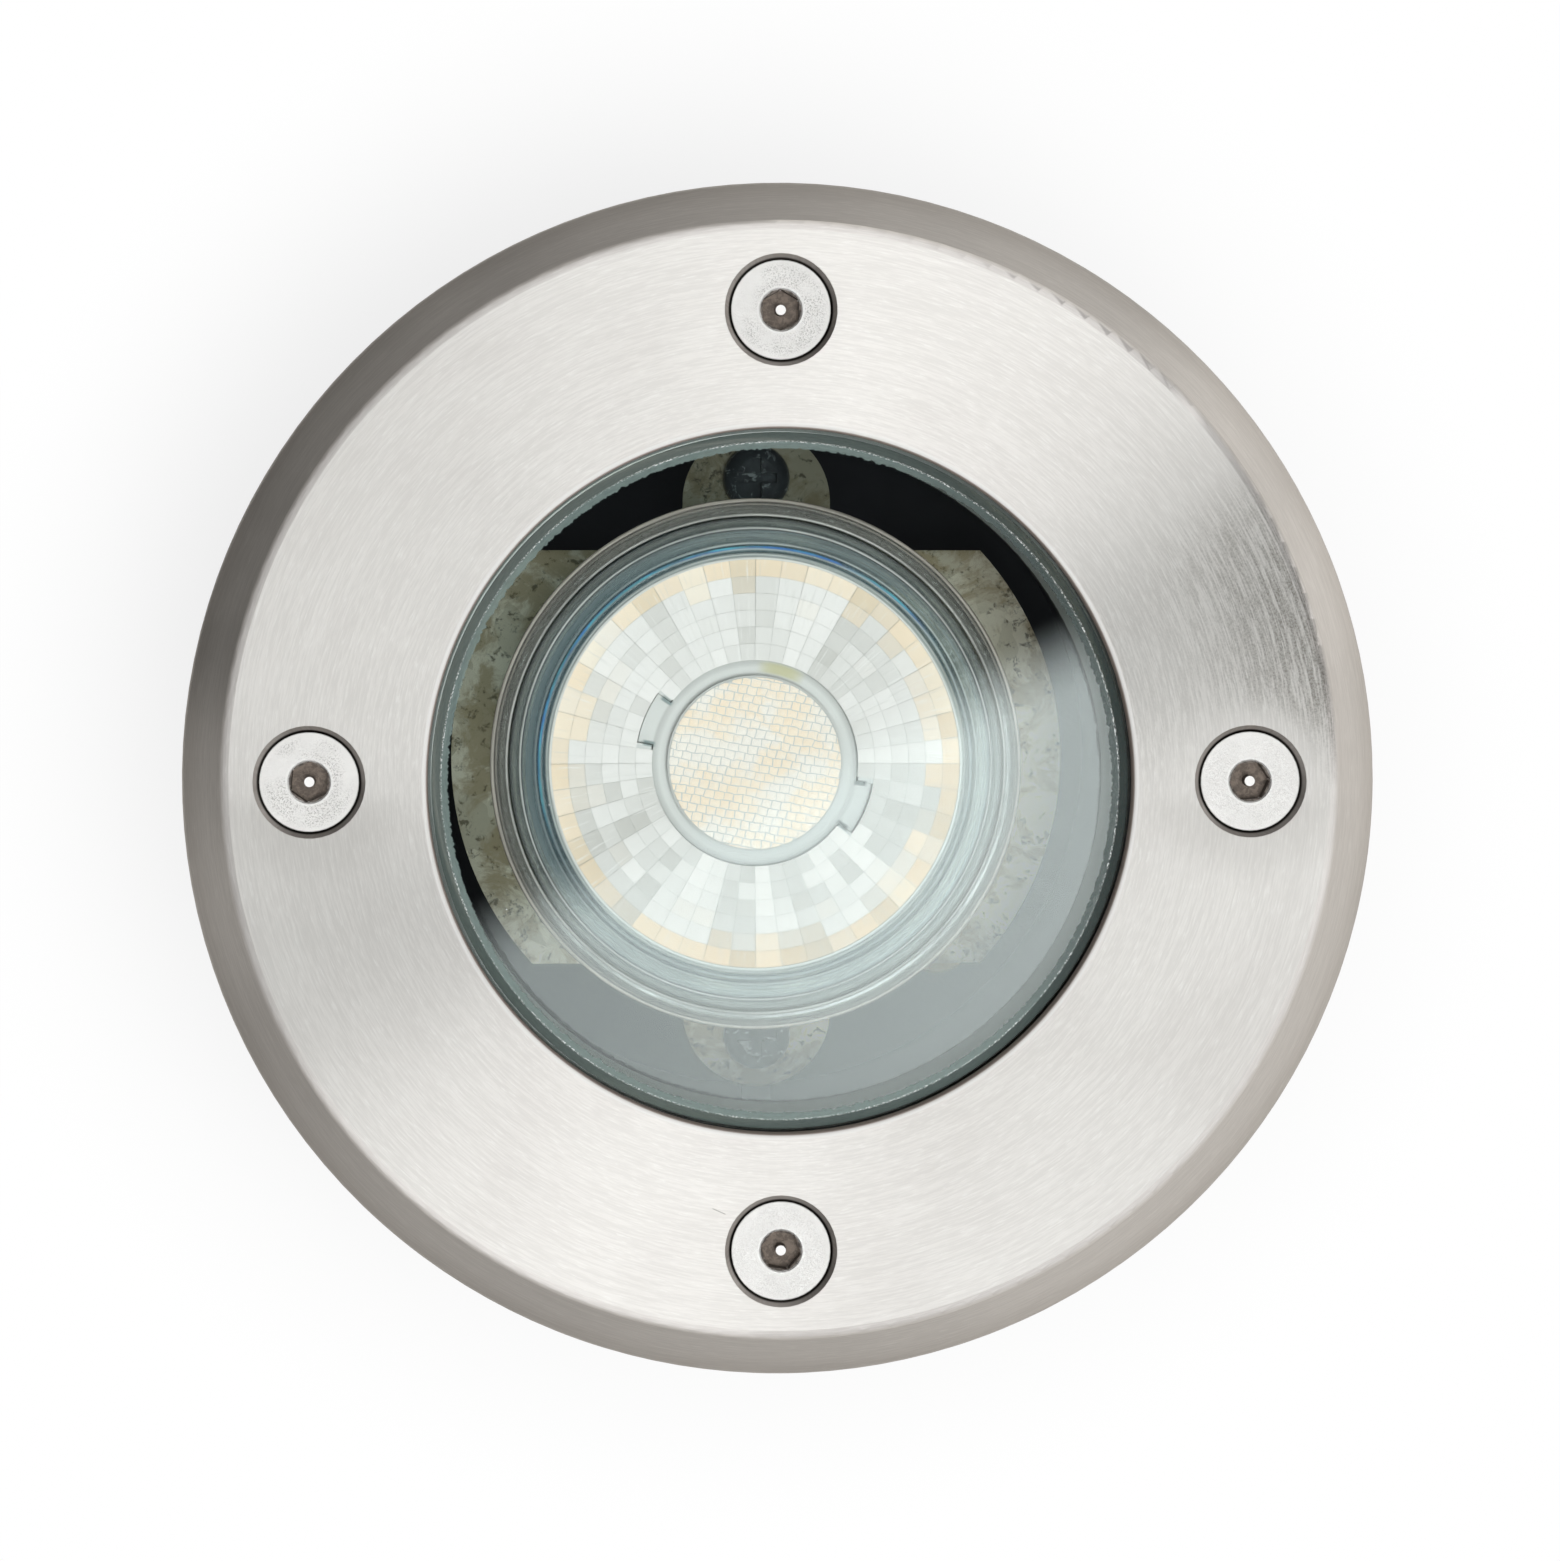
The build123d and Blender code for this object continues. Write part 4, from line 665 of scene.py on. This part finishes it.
# a solid finish takes: name, colour, roughness, metallic, grain per metre, grain depth in mm, variation, coat
finishes = {
    "stainless": makeStainless(),
    "screw_steel": makeTurnedSteel("mattTurnedSteel", (0.73, 0.715, 0.685), 0.30),
    "socket_screw": makeSocketScrew(),
    "window_glass": makeWindowGlass(),
    "gasket_rubber": solidFinish("siliconeRubber", (0.16, 0.17, 0.165), 0.55, 0.0, 3000.0, 0.006, 0.15),
    "seat_aluminium": makeSeatAluminium(),
    "housing_black": solidFinish("blackPowderCoat", (0.010, 0.010, 0.012), 0.62, 0.0, 1900.0, 0.020, 0.25),
    "bracket_zinc": makeZinc("spangledZinc", (0.98, 0.93, 0.76), (0.64, 0.60, 0.46), (0.47, 0.385, 0.235)),
    # blackened screws with painted highlight glints
    "dark_screw": makeGlintedBlackSteel("blackenedSteel", (0.07, 0.08, 0.085), (0.62, 0.66, 0.66)),
    "ceramic": solidFinish("glazedSteatite", (0.80, 0.77, 0.70), 0.30, 0.0, 1400.0, 0.004, 0.05, 0.6),
    "mica": solidFinish("insulatorSheet", (0.42, 0.33, 0.22), 0.55, 0.0, 2600.0, 0.012, 0.18),
    "brass": makeTurnedSteel("turnedBrass", (0.78, 0.60, 0.30), 0.24),
    "nylon_white": solidFinish("whiteNylon", (0.80, 0.80, 0.77), 0.45, 0.0, 2200.0, 0.008, 0.04),
    "nylon_black": solidFinish("blackNylon", (0.022, 0.022, 0.024), 0.46, 0.0, 2200.0, 0.014, 0.25),
    "lamp_shell_glass": makeLampGlass(),
    "lens_clear": makeOptic(),
    "board_white": solidFinish("whiteSolderMask", (0.86, 0.86, 0.83), 0.32, 0.0, 2600.0, 0.004, 0.03, 0.4),
    "phosphor": solidFinish("ledPhosphor", (0.90, 0.72, 0.30), 0.50, 0.0, 4200.0, 0.006, 0.08),
    "sink_aluminium": solidFinish("spunAluminium", (0.66, 0.67, 0.68), 0.34, 0.9, 3200.0, 0.006, 0.08),
    "driver_green": solidFinish("greenSolderMask", (0.05, 0.24, 0.10), 0.35, 0.0, 2600.0, 0.004, 0.10, 0.5),
    "capacitor_sleeve": solidFinish("shrinkSleeve", (0.03, 0.035, 0.06), 0.28, 0.0, 1600.0, 0.004, 0.15, 0.4),
    "lamp_base_white": solidFinish("whiteLampPlastic", (0.82, 0.82, 0.79), 0.34, 0.0, 2400.0, 0.005, 0.04, 0.3),
    "pin_metal": makeTurnedSteel("nickelPins", (0.70, 0.69, 0.66), 0.26),
    "sleeve_plastic": solidFinish("blackSleevePlastic", (0.020, 0.020, 0.021), 0.50, 0.0, 1500.0, 0.030, 0.30),
}
slotOf = {part["node"]: part["material_slot"] for part in frame["record"]["subparts"]}
for name, node in nodes.items():
    node.data.materials.clear()
    node.data.materials.append(finishes["socket_screw" if name == "bezel_screws" else slotOf[name]])
print("finishes set:", len(finishes))


def rulePiece(name, tree, values, material, body):
    # runs a Geometry Nodes tree once and keeps its result as a plain mesh on one body
    holder = bpy.data.objects.new(name + "Rule", bpy.data.meshes.new(name + "Rule"))
    bpy.context.scene.collection.objects.link(holder)
    modifier = holder.modifiers.new("rule", "NODES")
    modifier.node_group = tree
    for item in tree.interface.items_tree:
        if item.in_out == "INPUT":
            modifier[item.identifier] = material if item.name == "Finish" else values[item.name]
    shown = holder.evaluated_get(bpy.context.evaluated_depsgraph_get())
    mesh = bpy.data.meshes.new_from_object(shown)
    holder.modifiers.remove(modifier)
    bpy.data.objects.remove(holder)
    mesh.name = name
    piece = bpy.data.objects.new(name, mesh)
    bpy.context.scene.collection.objects.link(piece)
    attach(piece, body)
    return piece


def ruleTree(name, sizes):
    # a Geometry Nodes tree with one input for each of the piece's sizes
    inputs = [(label, "NodeSocketInt" if isinstance(value, int) else "NodeSocketFloat", value)
              for label, value in sizes.items()]
    net, given = newTree(name, "GeometryNodeTree", inputs + [("Finish", "NodeSocketMaterial", None)],
                         [("Mesh", "NodeSocketGeometry")])
    net.tree.is_modifier = True
    return net, given


def endRule(net, given, geometry):
    geometry = net.put("GeometryNodeSetShadeSmooth", None, {0: geometry})[0]
    return net.give({"Mesh": net.put("GeometryNodeSetMaterial", None, {
        0: geometry, "Material": given["Finish"]})[0]})


def position(net):
    return net.put("GeometryNodeInputPosition")[0]


def move(net, geometry, position=None, offset=None):
    feeds = {"Geometry": geometry}
    if position is not None:
        feeds["Position"] = position
    if offset is not None:
        feeds["Offset"] = offset
    return net.put("GeometryNodeSetPosition", None, feeds)[0]


def drop(net, geometry, selection):
    return net.put("GeometryNodeDeleteGeometry", {"domain": "POINT"}, {0: geometry, "Selection": selection})[0]


def scatter(net, points, piece, scale=(1.0, 1.0, 1.0)):
    # the piece on each point, as real geometry
    made = net.put("GeometryNodeInstanceOnPoints", None, {"Points": points, "Instance": piece, "Scale": scale})[0]
    return net.put("GeometryNodeRealizeInstances", None, {0: made})[0]


def keep(net, geometry, name, value):
    return net.put("GeometryNodeStoreNamedAttribute", {"data_type": "FLOAT", "domain": "POINT"},
                   {"Geometry": geometry, "Name": name, "Value": value})[0]


def named(net, name):
    return net.put("GeometryNodeInputNamedAttribute", {"data_type": "FLOAT"}, {"Name": name})[0]


def read(net, name):
    # the same kept value, in a finish
    return net.put("ShaderNodeAttribute", {"attribute_name": name})["Fac"]


def chance(net, seed, low=0.0, each=None):
    # a random number from low to 1, one for each point or one for each value of each
    feeds = {2: low, 3: 1.0, "Seed": seed}
    if each is not None:
        feeds["ID"] = each
    return net.put("FunctionNodeRandomValue", {"data_type": "FLOAT"}, feeds)[1]


petals = {
    "Petals": 24, "Columns": 2, "Rings": 6, "Inner Radius": 9.74 * mm, "Outer Radius": 19.25 * mm,
    "Inner Height": 119.68 * mm, "Outer Height": 121.86 * mm, "Bulge": 0.07 * mm, "Tilt": 0.05 * mm,
    "Gap": 0.014, "Tab Angle": 157.5, "Tab Reach": 11.33 * mm, "Seed": 7,
}
tabHalf = 15.02  # degrees to each side of a clip tab's middle that its gap takes up
toneShares = {"petal": 0.28, "column": 0.40, "facet": 0.32}  # neighbours have part of their tone in common


def makePetalRule():
    net, given = ruleTree("petalLens", petals)
    across = given["Petals"] * given["Columns"]
    index = net.put("GeometryNodeInputIndex")[0]
    column = net.calc("FLOORED_MODULO", index, across)
    ring = net.calc("FLOOR", index / across)
    cells = net.put("GeometryNodePoints", None, {
        "Count": across * given["Rings"], "Position": net.join(column + 0.5, ring + 0.5, 0.0)})[0]
    petal = net.calc("FLOOR", column / given["Columns"])
    tone = chance(net, given["Seed"], each=petal) * toneShares["petal"] + chance(
        net, given["Seed"] + 4, each=column) * toneShares["column"]
    cells = keep(net, cells, "facetTone", tone + chance(net, given["Seed"]) * toneShares["facet"])
    cells = keep(net, cells, "facetWarm", chance(net, given["Seed"] + 1))
    cells = keep(net, cells, "facetRing", (ring + 0.5) / given["Rings"])
    cells = keep(net, cells, "leanAcross", chance(net, given["Seed"] + 2, -1.0))
    cells = keep(net, cells, "leanOut", chance(net, given["Seed"] + 3, -1.0))
    size = 1.0 - given["Gap"]
    pillow = net.put("GeometryNodeMeshGrid", None, {
        "Size X": size, "Size Y": size, "Vertices X": 6, "Vertices Y": 5})[0]
    x, y, z = net.split(position(net))
    pillow = keep(net, keep(net, pillow, "alongU", x), "alongV", y)
    facets = scatter(net, cells, pillow)
    # from flat rows to the lens's rings
    x, y, z = net.split(position(net))
    turn = x / across * math.tau
    share = y / given["Rings"]
    radius = given["Inner Radius"] + share * (given["Outer Radius"] - given["Inner Radius"])
    u, v = named(net, "alongU"), named(net, "alongV")

    def dome(t):
        return 1.0 - t * t * 4.0

    rise = given["Bulge"] * (dome(u) * dome(v))
    lean = u * named(net, "leanAcross") + v * named(net, "leanOut")
    height = given["Inner Height"] + share * (given["Outer Height"] - given["Inner Height"])
    height = height + (rise + lean * given["Tilt"])
    place = net.join(radius * net.calc("COSINE", turn) + lampCentre[0],
                     radius * net.calc("SINE", turn) + lampCentre[1], height)
    # the two clip tabs of the centre lens stand in gaps of the inner ring
    fromTab = net.calc("FLOORED_MODULO", turn * (180 / math.pi) - given["Tab Angle"], 180.0)
    inTab = net.calc("GREATER_THAN", net.calc("ABSOLUTE", fromTab - 90.0), 90.0 - tabHalf) * net.calc(
        "LESS_THAN", radius, given["Tab Reach"])
    facets = keep(net, facets, "nearTab", inTab)
    facets = move(net, facets, place)
    facets = drop(net, facets, net.calc("GREATER_THAN", named(net, "nearTab"), 0.5))
    return endRule(net, given, facets)


# each ramp runs from dull facets to bright ones; the dims are under the window's reflection
petalTones = {
    "cool": [(0.20, (0.66, 0.66, 0.63)), (0.36, (0.77, 0.77, 0.745)), (0.52, (0.87, 0.87, 0.85)),
             (0.80, (0.945, 0.94, 0.92))],
    "cream": [(0.20, (0.82, 0.71, 0.54)), (0.50, (0.96, 0.82, 0.63)), (0.80, (0.98, 0.91, 0.78))],
    "creamDim": (0.99, 0.91, 0.80), "dullDim": (0.86, 0.865, 0.865),
    "brightStreak": (0.96, 0.965, 0.95), "darkStreak": (0.70, 0.71, 0.68),
}


def makePetalFinish():
    # each facet throws back its own bit of board, phosphor or sky, so it has its own tone
    net = newFinish("petalFacetOptic")
    tone, warm, ring = (read(net, name) for name in ("facetTone", "facetWarm", "facetRing"))
    cool, cream = net.ramp(tone, petalTones["cool"]), net.ramp(tone, petalTones["cream"])
    mirrored = underReflection(net)
    cream = net.blend(mirrored, cream, petalTones["creamDim"], "MULTIPLY")
    outward = net.calc("POWER", ring, 4.0) * 1.30 + (warm - 0.62) * 0.75
    colour = net.blend(net.spread(outward, 0.25, 0.80), cool, cream)
    # fine sparkle streaks run outwards along the petals
    radius, turnX, turnY, height = net.polar(*lampCentre)
    streak = net.noise(net.join(turnX * 60.0, turnY * 60.0, radius * 260.0), 1.0, 3.0, 0.6)
    colour = net.blend(net.spread(streak, 0.56, 0.72, 0.0, 0.5), colour, petalTones["brightStreak"])
    colour = net.blend(net.spread(streak, 0.44, 0.30, 0.0, 0.35), colour, petalTones["darkStreak"])
    colour = net.blend(mirrored, colour, optic["dim"], "MULTIPLY")
    colour = net.blend(mirrored * net.spread(tone, 0.60, 0.36), colour, petalTones["dullDim"], "MULTIPLY")
    return endWith(net, net.surface({
        "Base Color": colour, "Roughness": 0.20, "IOR": optic["ior"], "Specular IOR Level": optic["specular"],
        "Normal": net.bump(net.noise(net.here(), 700.0, 3.0, 0.6), 0.01 * mm)}))


petalFacets = rulePiece("petalFacets", makePetalRule(), petals, makePetalFinish(), "lamp")

microLens = {
    "Radius": 8.12 * mm, "Pitch": 0.79 * mm, "Widen": 1.16, "Count": 24, "Turn": math.radians(-10.0),
    "Bulge": 0.11 * mm, "Height": 120.165 * mm, "Waver": 0.46 * mm, "Line": 0.12, "Seed": 3,
}
rowShift = 0.27  # how much further along each row starts, in cells


def makeMicroLensRule():
    net, given = ruleTree("microLensGrid", microLens)
    index = net.put("GeometryNodeInputIndex")[0]
    half = (given["Count"] - 1) * 0.5
    wide = given["Pitch"] * given["Widen"]
    row = net.calc("FLOOR", index / given["Count"])
    x = (net.calc("FLOORED_MODULO", index, given["Count"]) - half) * wide
    x = x + (net.calc("FLOORED_MODULO", row * rowShift, 1.0) - 0.5) * wide
    cells = net.put("GeometryNodePoints", None, {
        "Count": given["Count"] * given["Count"], "Position": net.join(x, (row - half) * given["Pitch"], 0.0)})[0]
    flat = net.vector("MULTIPLY", position(net), (1.0, 1.0, 0.0))
    cells = drop(net, cells, net.calc(
        "GREATER_THAN", net.vector("LENGTH", flat), given["Radius"] + given["Pitch"] * 0.45))
    cells = keep(net, cells, "beadTone", chance(net, given["Seed"]))
    sizeX, sizeY = wide * (1.0 - given["Line"] * 0.95), given["Pitch"] * (1.0 - given["Line"])
    pillow = net.put("GeometryNodeMeshGrid", None, {
        "Size X": sizeX, "Size Y": sizeY, "Vertices X": 6, "Vertices Y": 6})[0]
    x, y, z = net.split(position(net))

    def dome(t, size):
        part = t / size
        return 1.0 - part * part * 4.0

    rise = given["Bulge"] * (dome(x, sizeX) * dome(y, sizeY))
    pillow = move(net, pillow, offset=net.join(0.0, 0.0, rise))
    # in some patches neighbours in a row run together
    joined = net.spread(net.noise(position(net), 230.0, 1.0), 0.48, 0.56, 1.0, 1.07)
    beads = scatter(net, cells, pillow, net.join(joined, 1.0, 1.0))
    wave = net.vector("SUBTRACT", net.noise(position(net), 900.0, output="Color"), (0.5, 0.5, 0.5))
    wave = net.vector("MULTIPLY", wave, (1.0, 1.0, 0.0))
    beads = move(net, beads, offset=net.vector("SCALE", wave, scale=given["Waver"]))
    # cells that cross the lens's edge are drawn in to it
    x, y, z = net.split(position(net))
    reach = net.calc("MAXIMUM", net.vector("LENGTH", net.join(x, y, 0.0)), 1e-6)
    squeeze = net.calc("MINIMUM", 1.0, given["Radius"] / reach)
    beads = move(net, beads, net.join(x * squeeze, y * squeeze, z))
    beads = net.put("GeometryNodeTransform", None, {
        "Geometry": beads, "Translation": net.join(*lampCentre, given["Height"]),
        "Rotation": net.join(0.0, 0.0, given["Turn"])})[0]
    return endRule(net, given, beads)


beadTones = {
    "warm": (1.0, 0.87, 0.69), "pale": (0.96, 0.925, 0.86), "bright": (1.0, 0.95, 0.85), "speck": (0.78, 0.82, 0.82),
}


def makeMicroLensFinish():
    net = newFinish("microLensOptic")
    here = net.here()
    patch = net.spread(net.noise(here, 240.0, 3.0, 0.5, 0.3), 0.42, 0.60)
    colour = net.blend(patch, beadTones["warm"], beadTones["pale"])
    colour = net.blend(net.spread(read(net, "beadTone"), 0.0, 1.0, 0.0, 0.30), colour, beadTones["bright"])
    specks = net.spread(net.noise(here, 2600.0, 3.0, 0.6), 0.58, 0.72, 0.0, 0.35)
    colour = net.blend(specks, colour, beadTones["speck"])
    colour = net.blend(underReflection(net), colour, optic["dim"], "MULTIPLY")
    return endWith(net, net.surface({
        "Base Color": colour, "Roughness": 0.18, "IOR": optic["ior"], "Specular IOR Level": optic["specular"],
        "Normal": net.bump(net.noise(here, 3000.0), 0.008 * mm)}))


centreBeads = rulePiece("centreBeads", makeMicroLensRule(), microLens, makeMicroLensFinish(), "lamp")
print("lamp optics made:", len(petalFacets.data.polygons), "and", len(centreBeads.data.polygons), "faces")


# low and high are the studio's brightness by compass direction, near the horizon and overhead;
# degrees are counted from +X towards +Y
studio = {
    "floorRadius": 0.30, "paper": ((0.90, 0.90, 0.895), (0.93, 0.93, 0.925)), "paperReach": (0.20, 0.32),
    "fill": 0.28, "keySize": 0.34, "keyPower": 10.6, "keyPlace": (0.10, -0.11, 1.32), "keyAim": (0.0, 0.0, 0.1),
    "low": [(0, 0.98), (18, 1.22), (32, 1.10), (55, 0.62), (75, 0.44), (90, 0.30), (105, 0.20), (125, 0.09),
            (150, 0.05), (168, 0.0), (179, 0.22), (195, 0.42), (210, 0.30), (245, 0.36), (272, 0.50),
            (305, 0.78), (345, 0.88), (360, 0.98)],
    "high": [(0, 1.10), (9, 0.08), (28, 0.06), (42, 1.16), (75, 1.27), (108, 0.92), (140, 0.61), (184, 0.61),
             (196, 0.44), (208, 0.56), (225, 1.18), (255, 1.27), (290, 1.05), (330, 1.08), (360, 1.10)],
    "cameraSide": (0.05, 0.055, 0.06), "softboxDim": (3.25, 3.63, 3.60), "softboxBright": (5.35, 5.96, 5.92),
    # how far a mirrored ray leans in X and Y: a point on the softbox's edge, the slopes across that edge, the
    # middle of what the window mirrors, and where that starts to fade and ends
    "edgePoint": (0.0918, -0.0068), "edgeSlopes": (0.4356, -0.900), "edgeSoft": 0.008,
    "mirrorMiddle": (0.033, -0.033), "mirrorReach": (0.074, 0.095),
}


def makeFloor():
    mesh = bpy.data.meshes.new("studioFloor")
    count, radius = 96, studio["floorRadius"]
    turns = [math.tau * i / count for i in range(count)]
    mesh.from_pydata([(radius * math.cos(t), radius * math.sin(t), 0.0) for t in turns], [], [list(range(count))])
    floor = bpy.data.objects.new("studioFloor", mesh)
    bpy.context.scene.collection.objects.link(floor)
    # pale paper near the part, pure white to the camera further out
    net = newFinish("paleFloor")
    here = net.here()
    path = net.put("ShaderNodeLightPath")
    seen = net.calc("MAXIMUM", path["Is Camera Ray"], path["Is Transmission Ray"])
    near, far = studio["paperReach"]
    edge = net.spread(net.vector("LENGTH", here), radius * near, radius * far, 0.80, 1.0)
    paper = net.put("ShaderNodeBsdfDiffuse", None, {
        0: net.blend(net.noise(here, 40.0, 4.0), *studio["paper"]), 1: 0.6})[0]
    white = net.put("ShaderNodeEmission", None, {0: (1.0, 1.0, 1.0), 1: 1.0})[0]
    mesh.materials.append(endWith(net, net.mixShaders(seen * edge, paper, white)))


def makeWorld():
    world = bpy.data.worlds.new("softStudio")
    bpy.context.scene.world = world
    world.use_nodes = True
    world.node_tree.nodes.clear()
    net = Net(world.node_tree)
    x, y, z = net.split(net.put("ShaderNodeTexCoord")["Generated"])
    turn = net.calc("FLOORED_MODULO", net.calc("ARCTAN2", y, x) / math.tau, 1.0)

    def around(stops):
        return net.ramp(turn, [(degrees / 360.0, (value,) * 3) for degrees, value in stops], "EASE")

    def background(colour, strength):
        return net.put("ShaderNodeBackground", None, {0: colour, 1: strength})[0]

    dome = net.blend(net.spread(z, 0.25, 0.72), around(studio["low"]), around(studio["high"]))
    # what the window mirrors: the dark camera side and, past a soft edge, a bright cool softbox
    up = net.calc("MAXIMUM", z, 0.05)
    overX, overY = x / up, y / up
    (edgeX, edgeY), (slopeX, slopeY) = studio["edgePoint"], studio["edgeSlopes"]
    past = (overX - edgeX) * slopeX + (overY - edgeY) * slopeY
    softbox = net.blend(net.spread(overX, -0.02, 0.10, smooth=False), studio["softboxDim"], studio["softboxBright"])
    box = net.blend(net.spread(past, -studio["edgeSoft"], studio["edgeSoft"]), studio["cameraSide"], softbox)
    middleX, middleY = studio["mirrorMiddle"]
    aside = net.calc("SQRT", net.calc("POWER", overX - middleX, 2.0) + net.calc("POWER", overY - middleY, 2.0))
    dome = net.blend(net.spread(aside, *studio["mirrorReach"]), box, dome)
    path = net.put("ShaderNodeLightPath")
    shiny = net.calc("MAXIMUM", path["Is Glossy Ray"], path["Is Transmission Ray"])
    lit = net.mixShaders(shiny, background((0.98, 0.99, 1.0), studio["fill"]), background(dome, 1.0))
    whole = net.mixShaders(path["Is Camera Ray"], lit, background((1.0, 1.0, 1.0), 1.0))
    net.put("ShaderNodeOutputWorld", None, {0: whole})


def makeKeyLight():
    lamp = bpy.data.lights.new("keySoftbox", "AREA")
    lamp.shape = "SQUARE"
    lamp.size = studio["keySize"]
    lamp.energy = studio["keyPower"]
    key = bpy.data.objects.new("keySoftbox", lamp)
    bpy.context.scene.collection.objects.link(key)
    key.location = studio["keyPlace"]
    key.rotation_euler = (Vector(studio["keyAim"]) - key.location).to_track_quat("-Z", "Y").to_euler()
    key.visible_glossy = False
    key.visible_transmission = False


view = {"height": 0.500, "toLeft": 0.0165, "toBack": 0.0165, "aim": (-0.00010, 0.00012, 0.140), "lens": 126.2}


def makeCamera():
    camera = bpy.data.objects.new("topCamera", bpy.data.cameras.new("topCamera"))
    bpy.context.scene.collection.objects.link(camera)
    place = Vector((-view["toLeft"], view["toBack"], view["aim"][2] + view["height"]))
    forward = (Vector(view["aim"]) - place).normalized()
    right = forward.cross(Vector((0, 1, 0))).normalized()
    up = right.cross(forward)
    camera.matrix_world = Matrix.Translation(place) @ Matrix((right, up, -forward)).transposed().to_4x4()
    camera.data.lens = view["lens"]
    camera.data.clip_start, camera.data.clip_end = 0.01, 20.0
    bpy.context.scene.camera = camera


makeFloor()
makeWorld()
makeKeyLight()
makeCamera()
bpy.context.scene.view_settings.view_transform = "Standard"
print("studio set")
